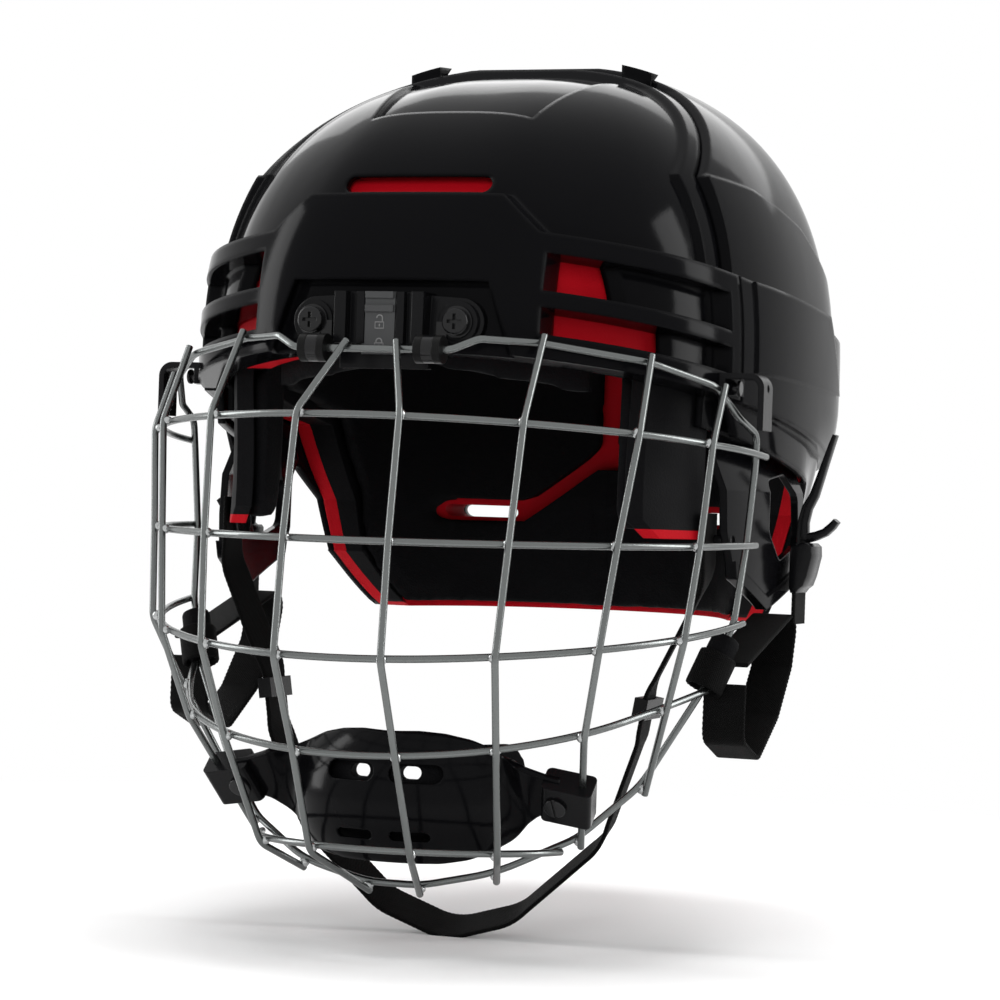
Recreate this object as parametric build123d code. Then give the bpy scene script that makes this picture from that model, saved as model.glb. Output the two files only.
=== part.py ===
# Ice hockey helmet with a wire face cage, chin cup and straps, built as separate pieces.
# Millimetres. X points to the wearer's left, Y to the back of the head, Z up.
# The origin is where the crown of the wearer's head meets the crown pad.
from build123d import *
import math
import os

# shell form: a dome with rounded plan outlines, wider at the sides than at the crown
crown_level = 23.0
widest_level = -86.0
widest_y = 19.0
shell_half_width = 100.0
shell_front_reach = 143.0
shell_rear_reach = 110.0
front_plan_power = 2.4
rear_plan_power = 2.2
side_rise_power = 2.5
front_rise_power = 2.2
rear_rise_power = 2.3
quadrant_shares = (0.25, 0.5, 0.75)
height_shares = (0.0, 0.3, 0.55, 0.74, 0.87, 0.95, 0.99)
skirt_level = -182.0

# walls and gaps between the layers
shell_wall = 3.0
rear_wall = 2.8
tongue_inset = 1.5
tongue_wall = 2.4
rear_shell_gap = 1.2
layer_gap = 0.3
fit_gap = 0.05
seam_gap = 1.2
liner_wall = 10.0
liner_travel_gap = 1.8
liner_foot_margin = 2.8
liner_start = 2.0
pad_wall = 6.5
size_travel = 10.0
overrun = 60.0

# raised band that runs round the shell above the brim
band_proud = 8.0
band_top_front = -42.0
band_top_slope = 0.155
brim_level = -84.5
brim_y = -130.0
brim_slope = 0.15
band_edge_chamfer = 2.0
bar_height = 7.0
pocket_floor = 1.2
upper_pocket_height = 13.0
middle_bar_height = 5.5
lower_pocket_height = 9.0
pocket_start_x = 47.0
pocket_front_cut = 8.0
upper_vent_end_y = -94.0
lower_vent_end_y = -80.0
vent_start_x = 50.0
pocket_end_margin = 7.0

# forehead plate above the bracket
plate_top_level = -32.0
plate_top_half_width = 34.0
plate_foot_half_width = 52.0
plate_ledge_level = -61.5
bracket_seat_offset = 3.5
bracket_seat_half_width = 42.0

# forehead vent and crown panel
vent_half_width = 26.0
vent_height = 5.5
vent_level = -28.0
panel_front_y = -76.0
panel_front_half_width = 29.0
panel_rear_half_width = 42.0
panel_depth = 1.8

# lip along the seam, tabs at its crown, and the raised parts of the rear shell
lip_proud = 2.2
lip_width = 9.0
tab_proud = 6.2
tab_plan = ((35.0, 1.0), (46.0, 1.0), (50.0, 16.0), (33.0, 16.0))
shoulder_proud = 1.3
shoulder_outline = ((-60.0, -18.0), (-22.0, -21.0), (20.0, -31.0), (58.0, -52.0), (62.0, -80.0), (-60.0, -80.0))
side_panel_proud = 1.0
side_panel_outline = ((-46.0, -55.0), (30.0, -62.0), (46.0, -90.0), (-46.0, -86.0))

# seam between the two shells, seen from the side
seam_crown_y = 15.0
seam_crown_level = 30.0
seam_shoulder_y = 0.0
seam_shoulder_level = 16.0
seam_side_y = -50.0
seam_side_level = -20.0
seam_band_y = -54.0
tongue_reach = 36.0
rear_lip_depth = 12.0
nape_level = -174.0
nape_corner_y = 42.0
nape_corner_cut = 10.0
ear_arch_y = 30.0
ear_arch_level = -122.0

# rear shell openings
slot_inner_x = 39.5
slot_outer_x = 65.0
slot_level = -136.5
slot_height = 4.6
back_vent_inner_x = 14.0
back_vent_outer_x = 40.0
back_vent_levels = (-32.0, -50.0)
back_vent_height = 7.0

# bracket on the brow, its screws and the sliding latch
screw_x = 25.3
screw_level = -75.0
bracket_wall = 3.2
bracket_ear_radius = 8.0
bracket_core_half_width = 15.5
bracket_top_level = -65.7
bracket_foot_level = -90.5
rail_width = 4.0
rail_front_y = -136.5
channel_floor_y = -132.4
latch_half_width = 5.2
latch_front_y = -135.0
latch_level = -86.0
latch_travel = 3.0
latch_grip_height = 2.2
latch_grip_ribs = 2
screw_head_radius = 4.4
screw_head_height = 2.4
screw_radius = 2.0
screw_length = 12.0
cross_recess_length = 5.0
cross_recess_width = 1.1
cross_recess_depth = 1.3
nut_flange_radius = 5.5
nut_flange_wall = 1.2
nut_barrel_radius = 3.1
nut_pocket_depth = 2.5
screw_pad_y = -130.6
screw_pad_radius = 6.8
guide_wall = 1.4
latch_flange = 1.4
latch_flange_wall = 1.3
band_wall = 0.8
band_plate_radius = 5.2

# screws that lock the two shells together, in slots on the crown
crown_screw_x = 32.0
crown_screw_y = 29.0
crown_seat_gap = 0.8
crown_nut_wall = 1.4
crown_pocket_depth = 5.0

# temple wings of the front liner, and the inner pads
wing_front_y = -80.0
wing_back_y = -52.0
wing_foot_level = -143.0
wing_front_cut = 6.0
wing_wall = 5.0
wing_pad_inset = 2.0
temple_pad_top = -62.0
forehead_pad_half_width = 60.0
forehead_pad_top = -34.0
forehead_pad_centre_foot = -88.0
forehead_pad_side_foot = -98.0
forehead_pad_back_y = -84.0
crown_pad_front_y = -26.0
crown_pad_half_width = 26.0
crown_pad_travel_gap = 1.3
rear_pad_inset = 2.6
rear_pad_split = 2.5
rear_pad_top = -20.0

# ear guards, which hang from a tab below the band
ear_tab_depth = 10.0
ear_wall = 2.6
ear_levels = (-96.0, -112.0, -126.0, -150.0, -170.0)
ear_flares = (0.0, 0.0, 5.4, 6.4, 5.0)
ear_outline = (
    (-46.0, -98.0), (-20.0, -100.5), (-20.0, -110.0), (12.0, -112.0), (24.0, -119.0), (26.0, -145.0),
    (22.0, -155.0), (-17.0, -167.0), (-44.0, -156.0), (-49.0, -140.0), (-49.0, -114.0), (-46.0, -110.0),
)
ear_opening = (
    (-14.0, -122.0), (7.0, -119.5), (17.0, -128.0), (17.0, -144.0), (-6.0, -150.0), (-16.0, -140.0),
)
ear_corner_radius = 4.0
ear_rim_width = 4.5
ear_rim_proud = 1.2
ear_rivet_y = (-40.0, -26.0)
ear_rivet_level = -102.5
rivet_radius = 1.7
rivet_head_radius = 4.0
rivet_head_height = 1.3

# hooks on the band that the rim wire lies in
hook_wall = 2.0
hook_front_y = -68.0
hook_back_y = -57.0
hook_top_level = -87.0
hook_foot_level = -106.0
hook_seat_foot = -94.5
hook_reach_x = 111.0
hook_bend_radius = 4.0
hook_screw_y = -62.5
hook_screw_level = -91.9
hook_screw_head_radius = 2.6
hook_screw_head_height = 0.9
hook_screw_radius = 1.3
hook_screw_length = 5.0
hook_screw_seat_gap = 0.6

# cage wires
wire_radius = 1.2
weld_gap = 0.06
hinge_y = -140.5
hinge_level = -84.5
hinge_half_run = 27.0
running_gap = 0.08
clip_x = 20.1
clip_width = 9.0
clip_flange_radius = 4.6
clip_waist_radius = 3.7
clip_flange_width = 2.6
clip_arm_height = 6.0

row_names = ("second", "third", "fourth", "fifth", "sixth")
row_front_y = (-158.2, -165.4, -169.0, -152.3, -137.0)
row_front_level = (-106.2, -146.1, -183.2, -214.8, -246.2)
row_slope = (-0.073, 0.015, 0.108, 0.25, -0.03)
row_nose_radius = (94.9, 83.2, 77.3, 86.5, 55.0)
row_nose_angle = (20.0, 26.0, 28.7, 63.0, 70.0)
row_side_radius = (113.0, 121.0, 125.7, 346.0, 55.0)
row_end_y = (-47.5, -48.0, -53.5, -66.0, -93.0)

upright_letters = ("a", "b", "c", "d")
upright_x = {
    "a": (98.1, 98.2, 96.0, 92.9, 85.1),
    "b": (81.4, 82.3, 78.3, 74.7, 67.9),
    "c": (51.8, 52.9, 51.3, 49.1, 46.0, 40.2),
    "d": (9.0, 17.2, 17.5, 17.6, 17.2, 17.0),
}
upright_bend_radius = 9.0
upright_overrun = 2.2

rim_points = (
    (hinge_half_run, hinge_y, hinge_level),
    (35.0, -136.0, -80.5),
    (51.8, -123.6, -81.0),
    (81.4, -102.0, -85.5),
    (97.6, -79.0, -92.0),
    (102.3, -66.0, -102.0),
    (104.5, -51.5, -107.0),
    (104.0, -50.6, -118.0),
    (101.9, -50.9, -144.4),
    (99.9, -56.0, -171.0),
    (92.2, -64.7, -193.5),
    (75.2, -75.2, -225.4),
    (58.0, -88.5, -243.0),
    (34.2, -102.0, -255.0),
    (9.5, -105.2, -260.5),
)
rim_bend_radii = (7.0, 7.0, 20.0, 30.0, 14.0, 9.0, 5.0, 30.0, 25.0, 20.0, 40.0, 30.0, 30.0, 40.0, 40.0)
upright_foot = {"a": 11, "b": 12, "c": 13, "d": 14}
cage_middle = (0, -60.0, -170.0)
upright_top_overrun = 1.4

# chin cup, its pad, and the clamps that hold it to two of the uprights
cup_y = -80.0
cup_level = -229.0
cup_half_width = 44.0
cup_depth = 42.0
cup_half_height = 34.0
cup_wall = 2.4
cup_top_level = -207.5
cup_foot_level = -253.0
cup_vent_inner_x = 3.5
cup_vent_outer_x = 20.0
cup_vent_level = -222.0
cup_vent_height = 5.0
cup_slot_level = -244.0
cup_slot_height = 3.2
cup_pad_wall = 5.5
cup_pad_margin = 5.0
clamp_level = -229.5
clamp_outside = 4.0
clamp_inside = 13.0
clamp_half_depth = 5.0
clamp_half_height = 7.6
clamp_corner_radius = 2.0
clamp_screw_reach = 7.8
clamp_screw_radius = 1.9
clamp_head_radius = 3.8
clamp_head_height = 1.2
clamp_screw_length = 9.6
screw_slot_width = 1.1
screw_slot_depth = 0.7
arm_wall = 3.0
arm_end = 4.6
arm_end_half_height = 5.6
arm_root = 31.0
arm_root_half_height = 13.0

# straps, and the foam sleeves on the rim wire
strap_wall = 1.5
chin_strap_width = 15.0
chin_strap_y = -50.0
chin_strap_top_level = -134.0
chin_strap_route = (
    (78.0, -178.0), (70.0, -194.0), (67.0, -212.0), (55.0, -247.0), (24.0, -275.0), (0.0, -282.0),
    (-25.0, -273.0), (-54.0, -247.0), (-68.0, -214.0), (-71.0, -194.0), (-79.0, -178.0),
)
chin_strap_bend_radius = 22.0
anchor_y = -45.5
anchor_level = -143.0
anchor_head_radius = 6.0
anchor_head_height = 1.6
anchor_radius = 1.7
sleeve_radius = 5.0
sleeve_shares = (0.2, 0.92)
harness_width = 15.0
harness_x = 98.7
harness_route = (
    (-58.0, -184.5), (6.0, -167.0), (-1.0, -187.0), (-17.0, -204.0), (-40.0, -217.0), (-60.0, -210.0),
    (-59.5, -191.0),
)
harness_bend_radius = 5.0
harness_ring_share = 0.72
harness_ring_height = 13.0
harness_riser_x = 106.0
harness_riser_y = 5.0
harness_riser_foot = -172.0
harness_riser_top = -147.0
hook_width = 16.0
prong_width = 5.5
hook_body_low_x = 104.2
hook_body_high_x = 110.0
hook_body_foot = -161.0
hook_body_top = -144.0
prong_wall = 2.6
long_prong = ((106.6, -150.0), (106.6, -138.0), (106.3, -126.0), (117.0, -104.5))
short_prong = ((107.0, -150.0), (109.0, -141.0), (115.5, -140.0), (119.5, -134.5))
prong_bend_radius = 3.5
keeper_level = -201.0
keeper_height = 7.0
keeper_wall = 1.6


# solids from outlines
def quadrant(half_width, reach, power, side, way, level):
    points = [(side * half_width, widest_y, level)]
    for share in quadrant_shares:
        angle = math.radians(90 * share)
        across = half_width * math.cos(angle) ** (2 / power)
        along = reach * math.sin(angle) ** (2 / power)
        points.append((side * across, widest_y + way * along, level))
    points.append((0, widest_y + way * reach, level))
    if side * way < 0:
        return Spline(points, tangents=[(0, way, 0), (-side, 0, 0)])
    points.reverse()
    return Spline(points, tangents=[(side, 0, 0), (0, -way, 0)])


def plan_outline(half_width, front, rear, level):
    return Wire(
        [
            quadrant(half_width, front, front_plan_power, 1, -1, level),
            quadrant(half_width, front, front_plan_power, -1, -1, level),
            quadrant(half_width, rear, rear_plan_power, -1, 1, level),
            quadrant(half_width, rear, rear_plan_power, 1, 1, level),
        ]
    )


def rise(share, power):
    return (1 - share**power) ** (1 / power)


far_x = shell_half_width + overrun
far_y = shell_front_reach + shell_rear_reach
dome_store = {}


def dome(offset):
    """Left half of a solid dome whose surface lies the offset outside the shell's own surface."""
    if offset not in dome_store:
        half_width = shell_half_width + offset
        front = shell_front_reach + offset
        rear = shell_rear_reach + offset
        height = crown_level + offset - widest_level
        wires = [plan_outline(half_width, front, rear, skirt_level)]
        for share in height_shares:
            wires.append(
                plan_outline(
                    half_width * rise(share, side_rise_power),
                    front * rise(share, front_rise_power),
                    rear * rise(share, rear_rise_power),
                    widest_level + height * share,
                )
            )
        left = block((0, -far_y, skirt_level - overrun), (far_x, far_y, crown_level + overrun))
        dome_store[offset] = Solid.make_loft(wires) & left
    return dome_store[offset]


def layer(outer, inner):
    """Left half of the space between two domes."""
    return dome(outer) - dome(inner)


def touch(offset, start, direction):
    """Where a ray first meets the dome with this offset."""
    start = Vector(*start)
    hits = dome(offset).find_intersection_points(Axis(start, direction))
    return min((point for point, _ in hits), key=lambda point: (point - start).length)


def prism(points, direction):
    return Solid.extrude(Face(Wire.make_polygon(points)), Vector(*direction))


def side_prism(points, low_x=0, high_x=far_x):
    return prism([(low_x, y, z) for y, z in points], (high_x - low_x, 0, 0))


def front_prism(points, low_y, high_y):
    return prism([(x, low_y, z) for x, z in points], (0, high_y - low_y, 0))


def plan_prism(points, low_z, high_z):
    return prism([(x, y, low_z) for x, y in points], (0, 0, high_z - low_z))


def block(low, high):
    size = [b - a for a, b in zip(low, high)]
    centre = [(a + b) / 2 for a, b in zip(low, high)]
    return Box(*size).moved(Location(tuple(centre)))


def rod(start, end, radius):
    start = Vector(*start)
    end = Vector(*end)
    plane = Plane(origin=start, z_dir=end - start)
    return Solid.make_cylinder(radius, (end - start).length, plane)


def side_rod(y, level, radius):
    return rod((0, y, level), (far_x, y, level), radius)


def screw_rod(radius, start_y=-shell_front_reach - overrun, end_y=panel_front_y):
    return rod((screw_x, start_y, screw_level), (screw_x, end_y, screw_level), radius)


def mirrored(shape):
    return shape.mirror(Plane.YZ)


def both(half):
    """Whole symmetrical piece from its left half."""
    return half + mirrored(half)


def pair(piece):
    return [piece, mirrored(piece)]


front_y = widest_y - shell_front_reach
rear_y = widest_y + shell_rear_reach
front_far = front_y - overrun
rear_far = rear_y + overrun
top_far = crown_level + overrun


def band_top(y):
    return band_top_front - band_top_slope * (y - brim_y)


def brim(y):
    return brim_level - brim_slope * (y - brim_y)


def band_slice(top_drop, height, low_y, high_y):
    """Tilted slice of the band: top_drop below its top line, and height tall."""
    points = [(low_y, band_top(low_y) - top_drop), (high_y, band_top(high_y) - top_drop)]
    points += [(y, level - height) for y, level in reversed(points)]
    return side_prism(points)


def seam_line(shift):
    return [
        (seam_crown_y + shift, seam_crown_level),
        (seam_shoulder_y + shift, seam_shoulder_level),
        (seam_side_y + shift, seam_side_level),
        (seam_band_y + shift, band_top(seam_band_y)),
    ]


def front_keep(shift, foot):
    """Everything in front of the seam line moved back by the shift, above the foot line."""
    points = [(front_far, foot(front_far)), (front_far, top_far)]
    points += [(seam_crown_y + shift, top_far)] + seam_line(shift)
    points += [(seam_band_y + shift, foot(seam_band_y + shift))]
    return side_prism(points)


# fasteners: the head stands on its seat along the direction, and the shank goes the other way
def stud(seat, direction, head_radius, head_height, radius, length):
    head = Solid.make_cylinder(head_radius, head_height, Plane(origin=seat, z_dir=direction))
    shank = Solid.make_cylinder(radius, length, Plane(origin=seat - direction * length, z_dir=direction))
    top = seat + direction * head_height
    body = head + shank
    rounds = body.edges().filter_by(GeomType.CIRCLE)
    rounds = [edge for edge in rounds if (edge.arc_center - top).length < fit_gap]
    return body.fillet(head_height / 3, rounds)


def cross_cut(seat, direction, head_height, length, width, depth, turns):
    plane = Plane(origin=seat + direction * (head_height - depth), z_dir=direction)
    bars = [Rot(0, 0, turn) * Box(length, width, 2 * depth, align=align_foot) for turn in turns]
    return [plane * bar for bar in bars]


align_foot = (Align.CENTER, Align.CENTER, Align.MIN)


def pan_screw(seat, direction, length):
    body = stud(seat, direction, screw_head_radius, screw_head_height, screw_radius, length)
    size = (cross_recess_length, cross_recess_width, cross_recess_depth)
    for cut in cross_cut(seat, direction, screw_head_height, *size, (0, 90)):
        body = body - cut
    return body


# front shell
def front_shell():
    band_height = band_top_front - brim_level
    band = dome(band_proud) & band_slice(0, band_height + overrun, front_far, rear_far)
    plate = dome(band_proud) & front_prism(
        [
            (0, band_top_front - bar_height),
            (0, plate_top_level),
            (plate_top_half_width, plate_top_level),
            (plate_foot_half_width, band_top_front - bar_height),
        ],
        front_far,
        panel_front_y,
    )
    body = (dome(0) + band + plate) & front_keep(-seam_gap, brim)
    body = body - dome(-shell_wall)
    seat = front_prism(
        [
            (0, brim_level - overrun),
            (0, plate_ledge_level),
            (plate_top_half_width, plate_ledge_level),
            (bracket_seat_half_width, brim_level),
            (bracket_seat_half_width, brim_level - overrun),
        ],
        front_far,
        panel_front_y,
    )
    body = body - (seat - dome(bracket_seat_offset))
    lower_drop = bar_height + upper_pocket_height + middle_bar_height
    body = body - side_pocket(bar_height, upper_pocket_height, upper_vent_end_y)
    body = body - side_pocket(lower_drop, lower_pocket_height, lower_vent_end_y)
    vent = SlotOverall(2 * vent_half_width, vent_height)
    vent = extrude(Plane.XZ.offset(-panel_front_y) * Pos(0, vent_level) * vent, shell_front_reach)
    panel = plan_prism(
        [
            (0, panel_front_y),
            (panel_front_half_width, panel_front_y),
            (panel_rear_half_width, seam_crown_y),
            (0, seam_crown_y),
        ],
        plate_top_level,
        top_far,
    )
    body = body - vent - (panel - dome(-panel_depth))
    along_seam = front_keep(-seam_gap, brim)
    lip = dome(lip_proud) & (along_seam - front_keep(-lip_width, lambda y: nape_level))
    tab = dome(tab_proud) & along_seam & plan_prism(list(tab_plan), panel_front_y, top_far)
    body = body + ((lip + tab) - dome(-shell_wall))
    tongue = layer(-tongue_inset, -tongue_inset - tongue_wall)
    tongue = tongue & front_keep(tongue_reach, lambda y: brim(y) - ear_tab_depth)
    tongue = tongue - front_keep(-2 * shell_wall, lambda y: nape_level - overrun)
    body = body + tongue
    body = body - screw_rod(nut_barrel_radius + fit_gap) - crown_rod(screw_radius + fit_gap)
    for y in ear_rivet_y:
        body = body - side_rod(y, ear_rivet_level, rivet_radius + fit_gap)
    return both(body - side_rod(hook_screw_y, hook_screw_level, hook_screw_radius + fit_gap))


def side_pocket(drop, height, vent_y):
    """Recess in the side of the band with a sloping floor, open right through ahead of vent_y."""
    tall = band_slice(drop, height, front_far, rear_far)
    back_y = seam_band_y - pocket_end_margin
    plan = [(pocket_start_x, front_far), (pocket_start_x + pocket_front_cut, back_y)]
    plan += [(far_x, back_y), (far_x, front_far)]
    recess = (tall & plan_prism(plan, nape_level, top_far)) - dome(pocket_floor)
    plan = [(vent_start_x, front_far), (vent_start_x, vent_y), (far_x, vent_y), (far_x, front_far)]
    return recess + (tall & plan_prism(plan, nape_level, top_far))


# rear shell, which overlaps the front shell and slides back on it
def rear_foot():
    """Side outline of everything behind the seam, with the ear arch and the nape."""
    lip_y = seam_band_y + tongue_reach
    return [
        (seam_crown_y, top_far),
        (seam_crown_y, seam_crown_level),
        (seam_shoulder_y, seam_shoulder_level),
        (seam_side_y, seam_side_level),
        (seam_band_y, band_top(seam_band_y)),
        (seam_band_y, brim(seam_band_y)),
        (seam_band_y + rear_lip_depth / 2, brim(seam_band_y) - rear_lip_depth),
        (lip_y, brim(lip_y) - rear_lip_depth),
        (ear_arch_y, ear_arch_level),
        (nape_corner_y, ear_arch_level - rear_lip_depth),
        (nape_corner_y, nape_level + nape_corner_cut),
        (nape_corner_y + nape_corner_cut, nape_level),
        (rear_far, nape_level),
        (rear_far, top_far),
    ]


def slot_cutter(low_x, high_x, level, height):
    slot = SlotOverall(high_x - low_x, height)
    centre = (low_x + high_x) / 2
    return extrude(Plane.XZ.offset(-widest_y) * Pos(centre, level) * slot, -shell_front_reach)


def rear_shell():
    outer = rear_shell_gap + rear_wall
    band_height = band_top_front - brim_level
    inside = seam_band_y + rear_wall
    band = dome(band_proud) & band_slice(0, band_height, seam_band_y, rear_far)
    hollow = band_slice(rear_wall, band_height - 2 * rear_wall, inside, rear_far)
    hollow = dome(band_proud - rear_wall) & hollow
    shoulder = dome(outer + shoulder_proud) & side_prism(list(shoulder_outline))
    side_panel = dome(band_proud + side_panel_proud) & side_prism(list(side_panel_outline))
    body = (dome(outer) + band + shoulder + side_panel) & side_prism(rear_foot())
    body = body - dome(rear_shell_gap) - hollow
    body = body - slot_cutter(slot_inner_x, slot_outer_x, slot_level, slot_height)
    for level in back_vent_levels:
        body = body - slot_cutter(back_vent_inner_x, back_vent_outer_x, level, back_vent_height)
    return both(body - crown_travel_slot())


# screws on the crown
def crown_point(offset, y=crown_screw_y):
    return touch(offset, (crown_screw_x, y, top_far), (0, 0, -1))


def crown_normal():
    down = (0, 0, -1)
    along = crown_point(0, crown_screw_y + screw_radius) - crown_point(0, crown_screw_y - screw_radius)
    near = touch(0, (crown_screw_x - screw_radius, crown_screw_y, top_far), down)
    far = touch(0, (crown_screw_x + screw_radius, crown_screw_y, top_far), down)
    return (far - near).cross(along).normalized()


def crown_axis(height):
    """Point on the crown screw's axis, this height above the front shell's surface."""
    return crown_point(0) + crown_normal() * height


def crown_rod(radius, shift=0):
    centre = crown_point(0) + Vector(0, shift, 0)
    reach = crown_normal() * (shell_wall + overrun / 4)
    return rod(tuple(centre - reach), tuple(centre + reach), radius)


def crown_travel_slot():
    """Slot that leans as the screw does, over the whole travel."""
    radius = screw_radius + layer_gap
    start = crown_point(0)
    normal = crown_normal()
    reach = normal * (shell_wall + overrun / 4)
    low, high = start - reach, start + reach
    half = radius / normal.Z
    outline = [(low.X - half, low.Z), (low.X + half, low.Z), (high.X + half, high.Z), (high.X - half, high.Z)]
    middle = front_prism(outline, start.Y - size_travel, start.Y)
    return crown_rod(radius) + crown_rod(radius, -size_travel) + middle


def crown_screws():
    normal = crown_normal()
    height = rear_shell_gap + rear_wall + crown_seat_gap
    length = height + tongue_inset + tongue_wall + layer_gap + crown_nut_wall
    return pair(pan_screw(crown_axis(height), normal, length))


def crown_nuts():
    normal = crown_normal()
    seat = crown_axis(-tongue_inset - tongue_wall - layer_gap - crown_nut_wall)
    nut = extrude(Plane(origin=seat, z_dir=normal) * RegularPolygon(nut_flange_radius, 6), crown_nut_wall)
    return pair(nut - crown_rod(screw_radius + fit_gap))


# foam liners and pads
liner_outer = -tongue_inset - tongue_wall - layer_gap
liner_inner = liner_outer - liner_wall
pad_outer = liner_inner - layer_gap
pad_inner = pad_outer - pad_wall
travel_outer = -tongue_inset - tongue_wall - liner_travel_gap


def liner_foot(y):
    return brim(y) + liner_foot_margin


def wing_prism(top_drop, inset):
    """Side outline of the temple wing, below the front liner's foot."""
    foot = wing_foot_level + inset
    return side_prism(
        [
            (wing_front_y, liner_foot(wing_front_y) - top_drop),
            (wing_back_y, liner_foot(wing_back_y) - top_drop),
            (wing_back_y, foot),
            (wing_front_y + wing_front_cut, foot),
            (wing_front_y, foot + wing_front_cut),
        ]
    )


def front_liner():
    body = layer(liner_outer, liner_inner) & front_keep(layer_gap, liner_foot)
    body = body + (layer(liner_outer, liner_outer - wing_wall) & wing_prism(0, 0))
    return both(body - nut_pocket())


def temple_pad():
    low = layer(liner_outer - wing_wall - layer_gap, pad_inner) & wing_prism(layer_gap, wing_pad_inset)
    high = layer(pad_outer, pad_inner) & side_prism(
        [
            (wing_front_y, liner_foot(wing_front_y) - layer_gap),
            (wing_back_y, liner_foot(wing_back_y) - layer_gap),
            (wing_back_y, temple_pad_top),
            (wing_front_y, temple_pad_top),
        ]
    )
    return low + high


def forehead_pad():
    outline = [
        (0, forehead_pad_centre_foot),
        (forehead_pad_half_width, forehead_pad_side_foot),
        (forehead_pad_half_width, forehead_pad_top),
        (0, forehead_pad_top),
    ]
    return both(layer(pad_outer, pad_inner) & front_prism(outline, front_far, forehead_pad_back_y))


def crown_pad():
    outline = [
        (0, crown_pad_front_y),
        (crown_pad_half_width, crown_pad_front_y),
        (crown_pad_half_width, 0),
        (0, 0),
    ]
    free = layer(pad_outer - crown_pad_travel_gap, -crown_level)
    fixed = layer(pad_outer, -crown_level) & front_keep(-layer_gap, lambda y: band_top_front)
    return both((free + fixed) & plan_prism(outline, band_top_front, top_far))


def rear_region(shift):
    """Behind the seam line moved back by the shift, clear of the ears, down to the nape."""
    outline = [
        (seam_band_y, top_far),
        (seam_band_y, liner_foot(seam_band_y)),
        (ear_arch_y, liner_foot(ear_arch_y)),
        (nape_corner_y, ear_arch_level - rear_lip_depth),
        (nape_corner_y, nape_level + nape_corner_cut),
        (nape_corner_y + nape_corner_cut, nape_level),
        (rear_far, nape_level),
        (rear_far, top_far),
    ]
    return side_prism(outline) - front_keep(shift, lambda y: nape_level - overrun)


def rear_liner():
    body = layer(travel_outer, liner_inner) & rear_region(liner_start)
    outside = layer(rear_shell_gap - layer_gap, liner_inner) & rear_region(tongue_reach + liner_start)
    body = body + outside
    body = body - slot_cutter(slot_inner_x, slot_outer_x, slot_level, slot_height)
    seat = crown_point(travel_outer)
    margin = nut_flange_radius + layer_gap
    pocket = block(
        (seat.X - margin, seat.Y - size_travel - margin, seat.Z - crown_pocket_depth),
        (seat.X + margin, seat.Y + margin, seat.Z + crown_pocket_depth),
    )
    return both(body - pocket)


def rear_pad():
    region = rear_region(liner_start + rear_pad_inset)
    rise_by = Location((0, 0, rear_pad_inset))
    body = layer(pad_outer, pad_inner) & region & region.moved(rise_by)
    body = body & block((rear_pad_split, front_far, nape_level), (far_x, rear_far, rear_pad_top))
    low_x = slot_inner_x - liner_start
    high_x = slot_outer_x + liner_start
    return body - slot_cutter(low_x, high_x, slot_level, slot_height + liner_start)


# ear guards
def flared(proud):
    outlines = []
    for level, flare in zip(ear_levels, ear_flares):
        offset = liner_outer + flare + proud
        size = (shell_half_width + offset, shell_front_reach + offset, shell_rear_reach + offset)
        outlines.append(plan_outline(*size, level))
    return Solid.make_loft(outlines, ruled=True)


def ear_guard():
    outline = side_prism(ear_outline)
    corners = outline.edges().filter_by(Axis.X)
    outline = outline.fillet(ear_corner_radius / 2, corners)
    opening = side_prism(ear_opening)
    opening = opening.fillet(ear_corner_radius, opening.edges().filter_by(Axis.X))
    inside = flared(-ear_wall)
    body = (flared(0) - inside) & outline
    raised = outline - outline.moved(Location((0, 0, ear_rim_width)))
    raised = raised & block((0, front_far, nape_level), (far_x, rear_far, ear_levels[3]))
    body = body + ((flared(ear_rim_proud) - inside) & raised)
    body = body - opening
    for y in ear_rivet_y:
        body = body - side_rod(y, ear_rivet_level, rivet_radius + fit_gap)
    return body - side_rod(anchor_y, anchor_level, anchor_radius + fit_gap)


def ear_rivets():
    rivets = []
    for y in ear_rivet_y:
        outer = touch(-tongue_inset, (far_x, y, ear_rivet_level), (-1, 0, 0))
        inner = touch_solid(flared(-ear_wall), (far_x, y - rivet_head_radius, ear_rivet_level))
        seat = Vector(inner.X - fit_gap, y, ear_rivet_level)
        size = (rivet_head_radius, rivet_head_height, rivet_radius, outer.X - seat.X - layer_gap)
        rivets = rivets + pair(stud(seat, Vector(-1, 0, 0), *size))
    return rivets


# bracket on the brow, with guides for the latch
def side_box(low_x, high_x, low_y, high_y, low_z, high_z):
    return block((low_x, low_y, low_z), (high_x, high_y, high_z))


guide_foot_level = bracket_foot_level + bracket_ear_radius


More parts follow.
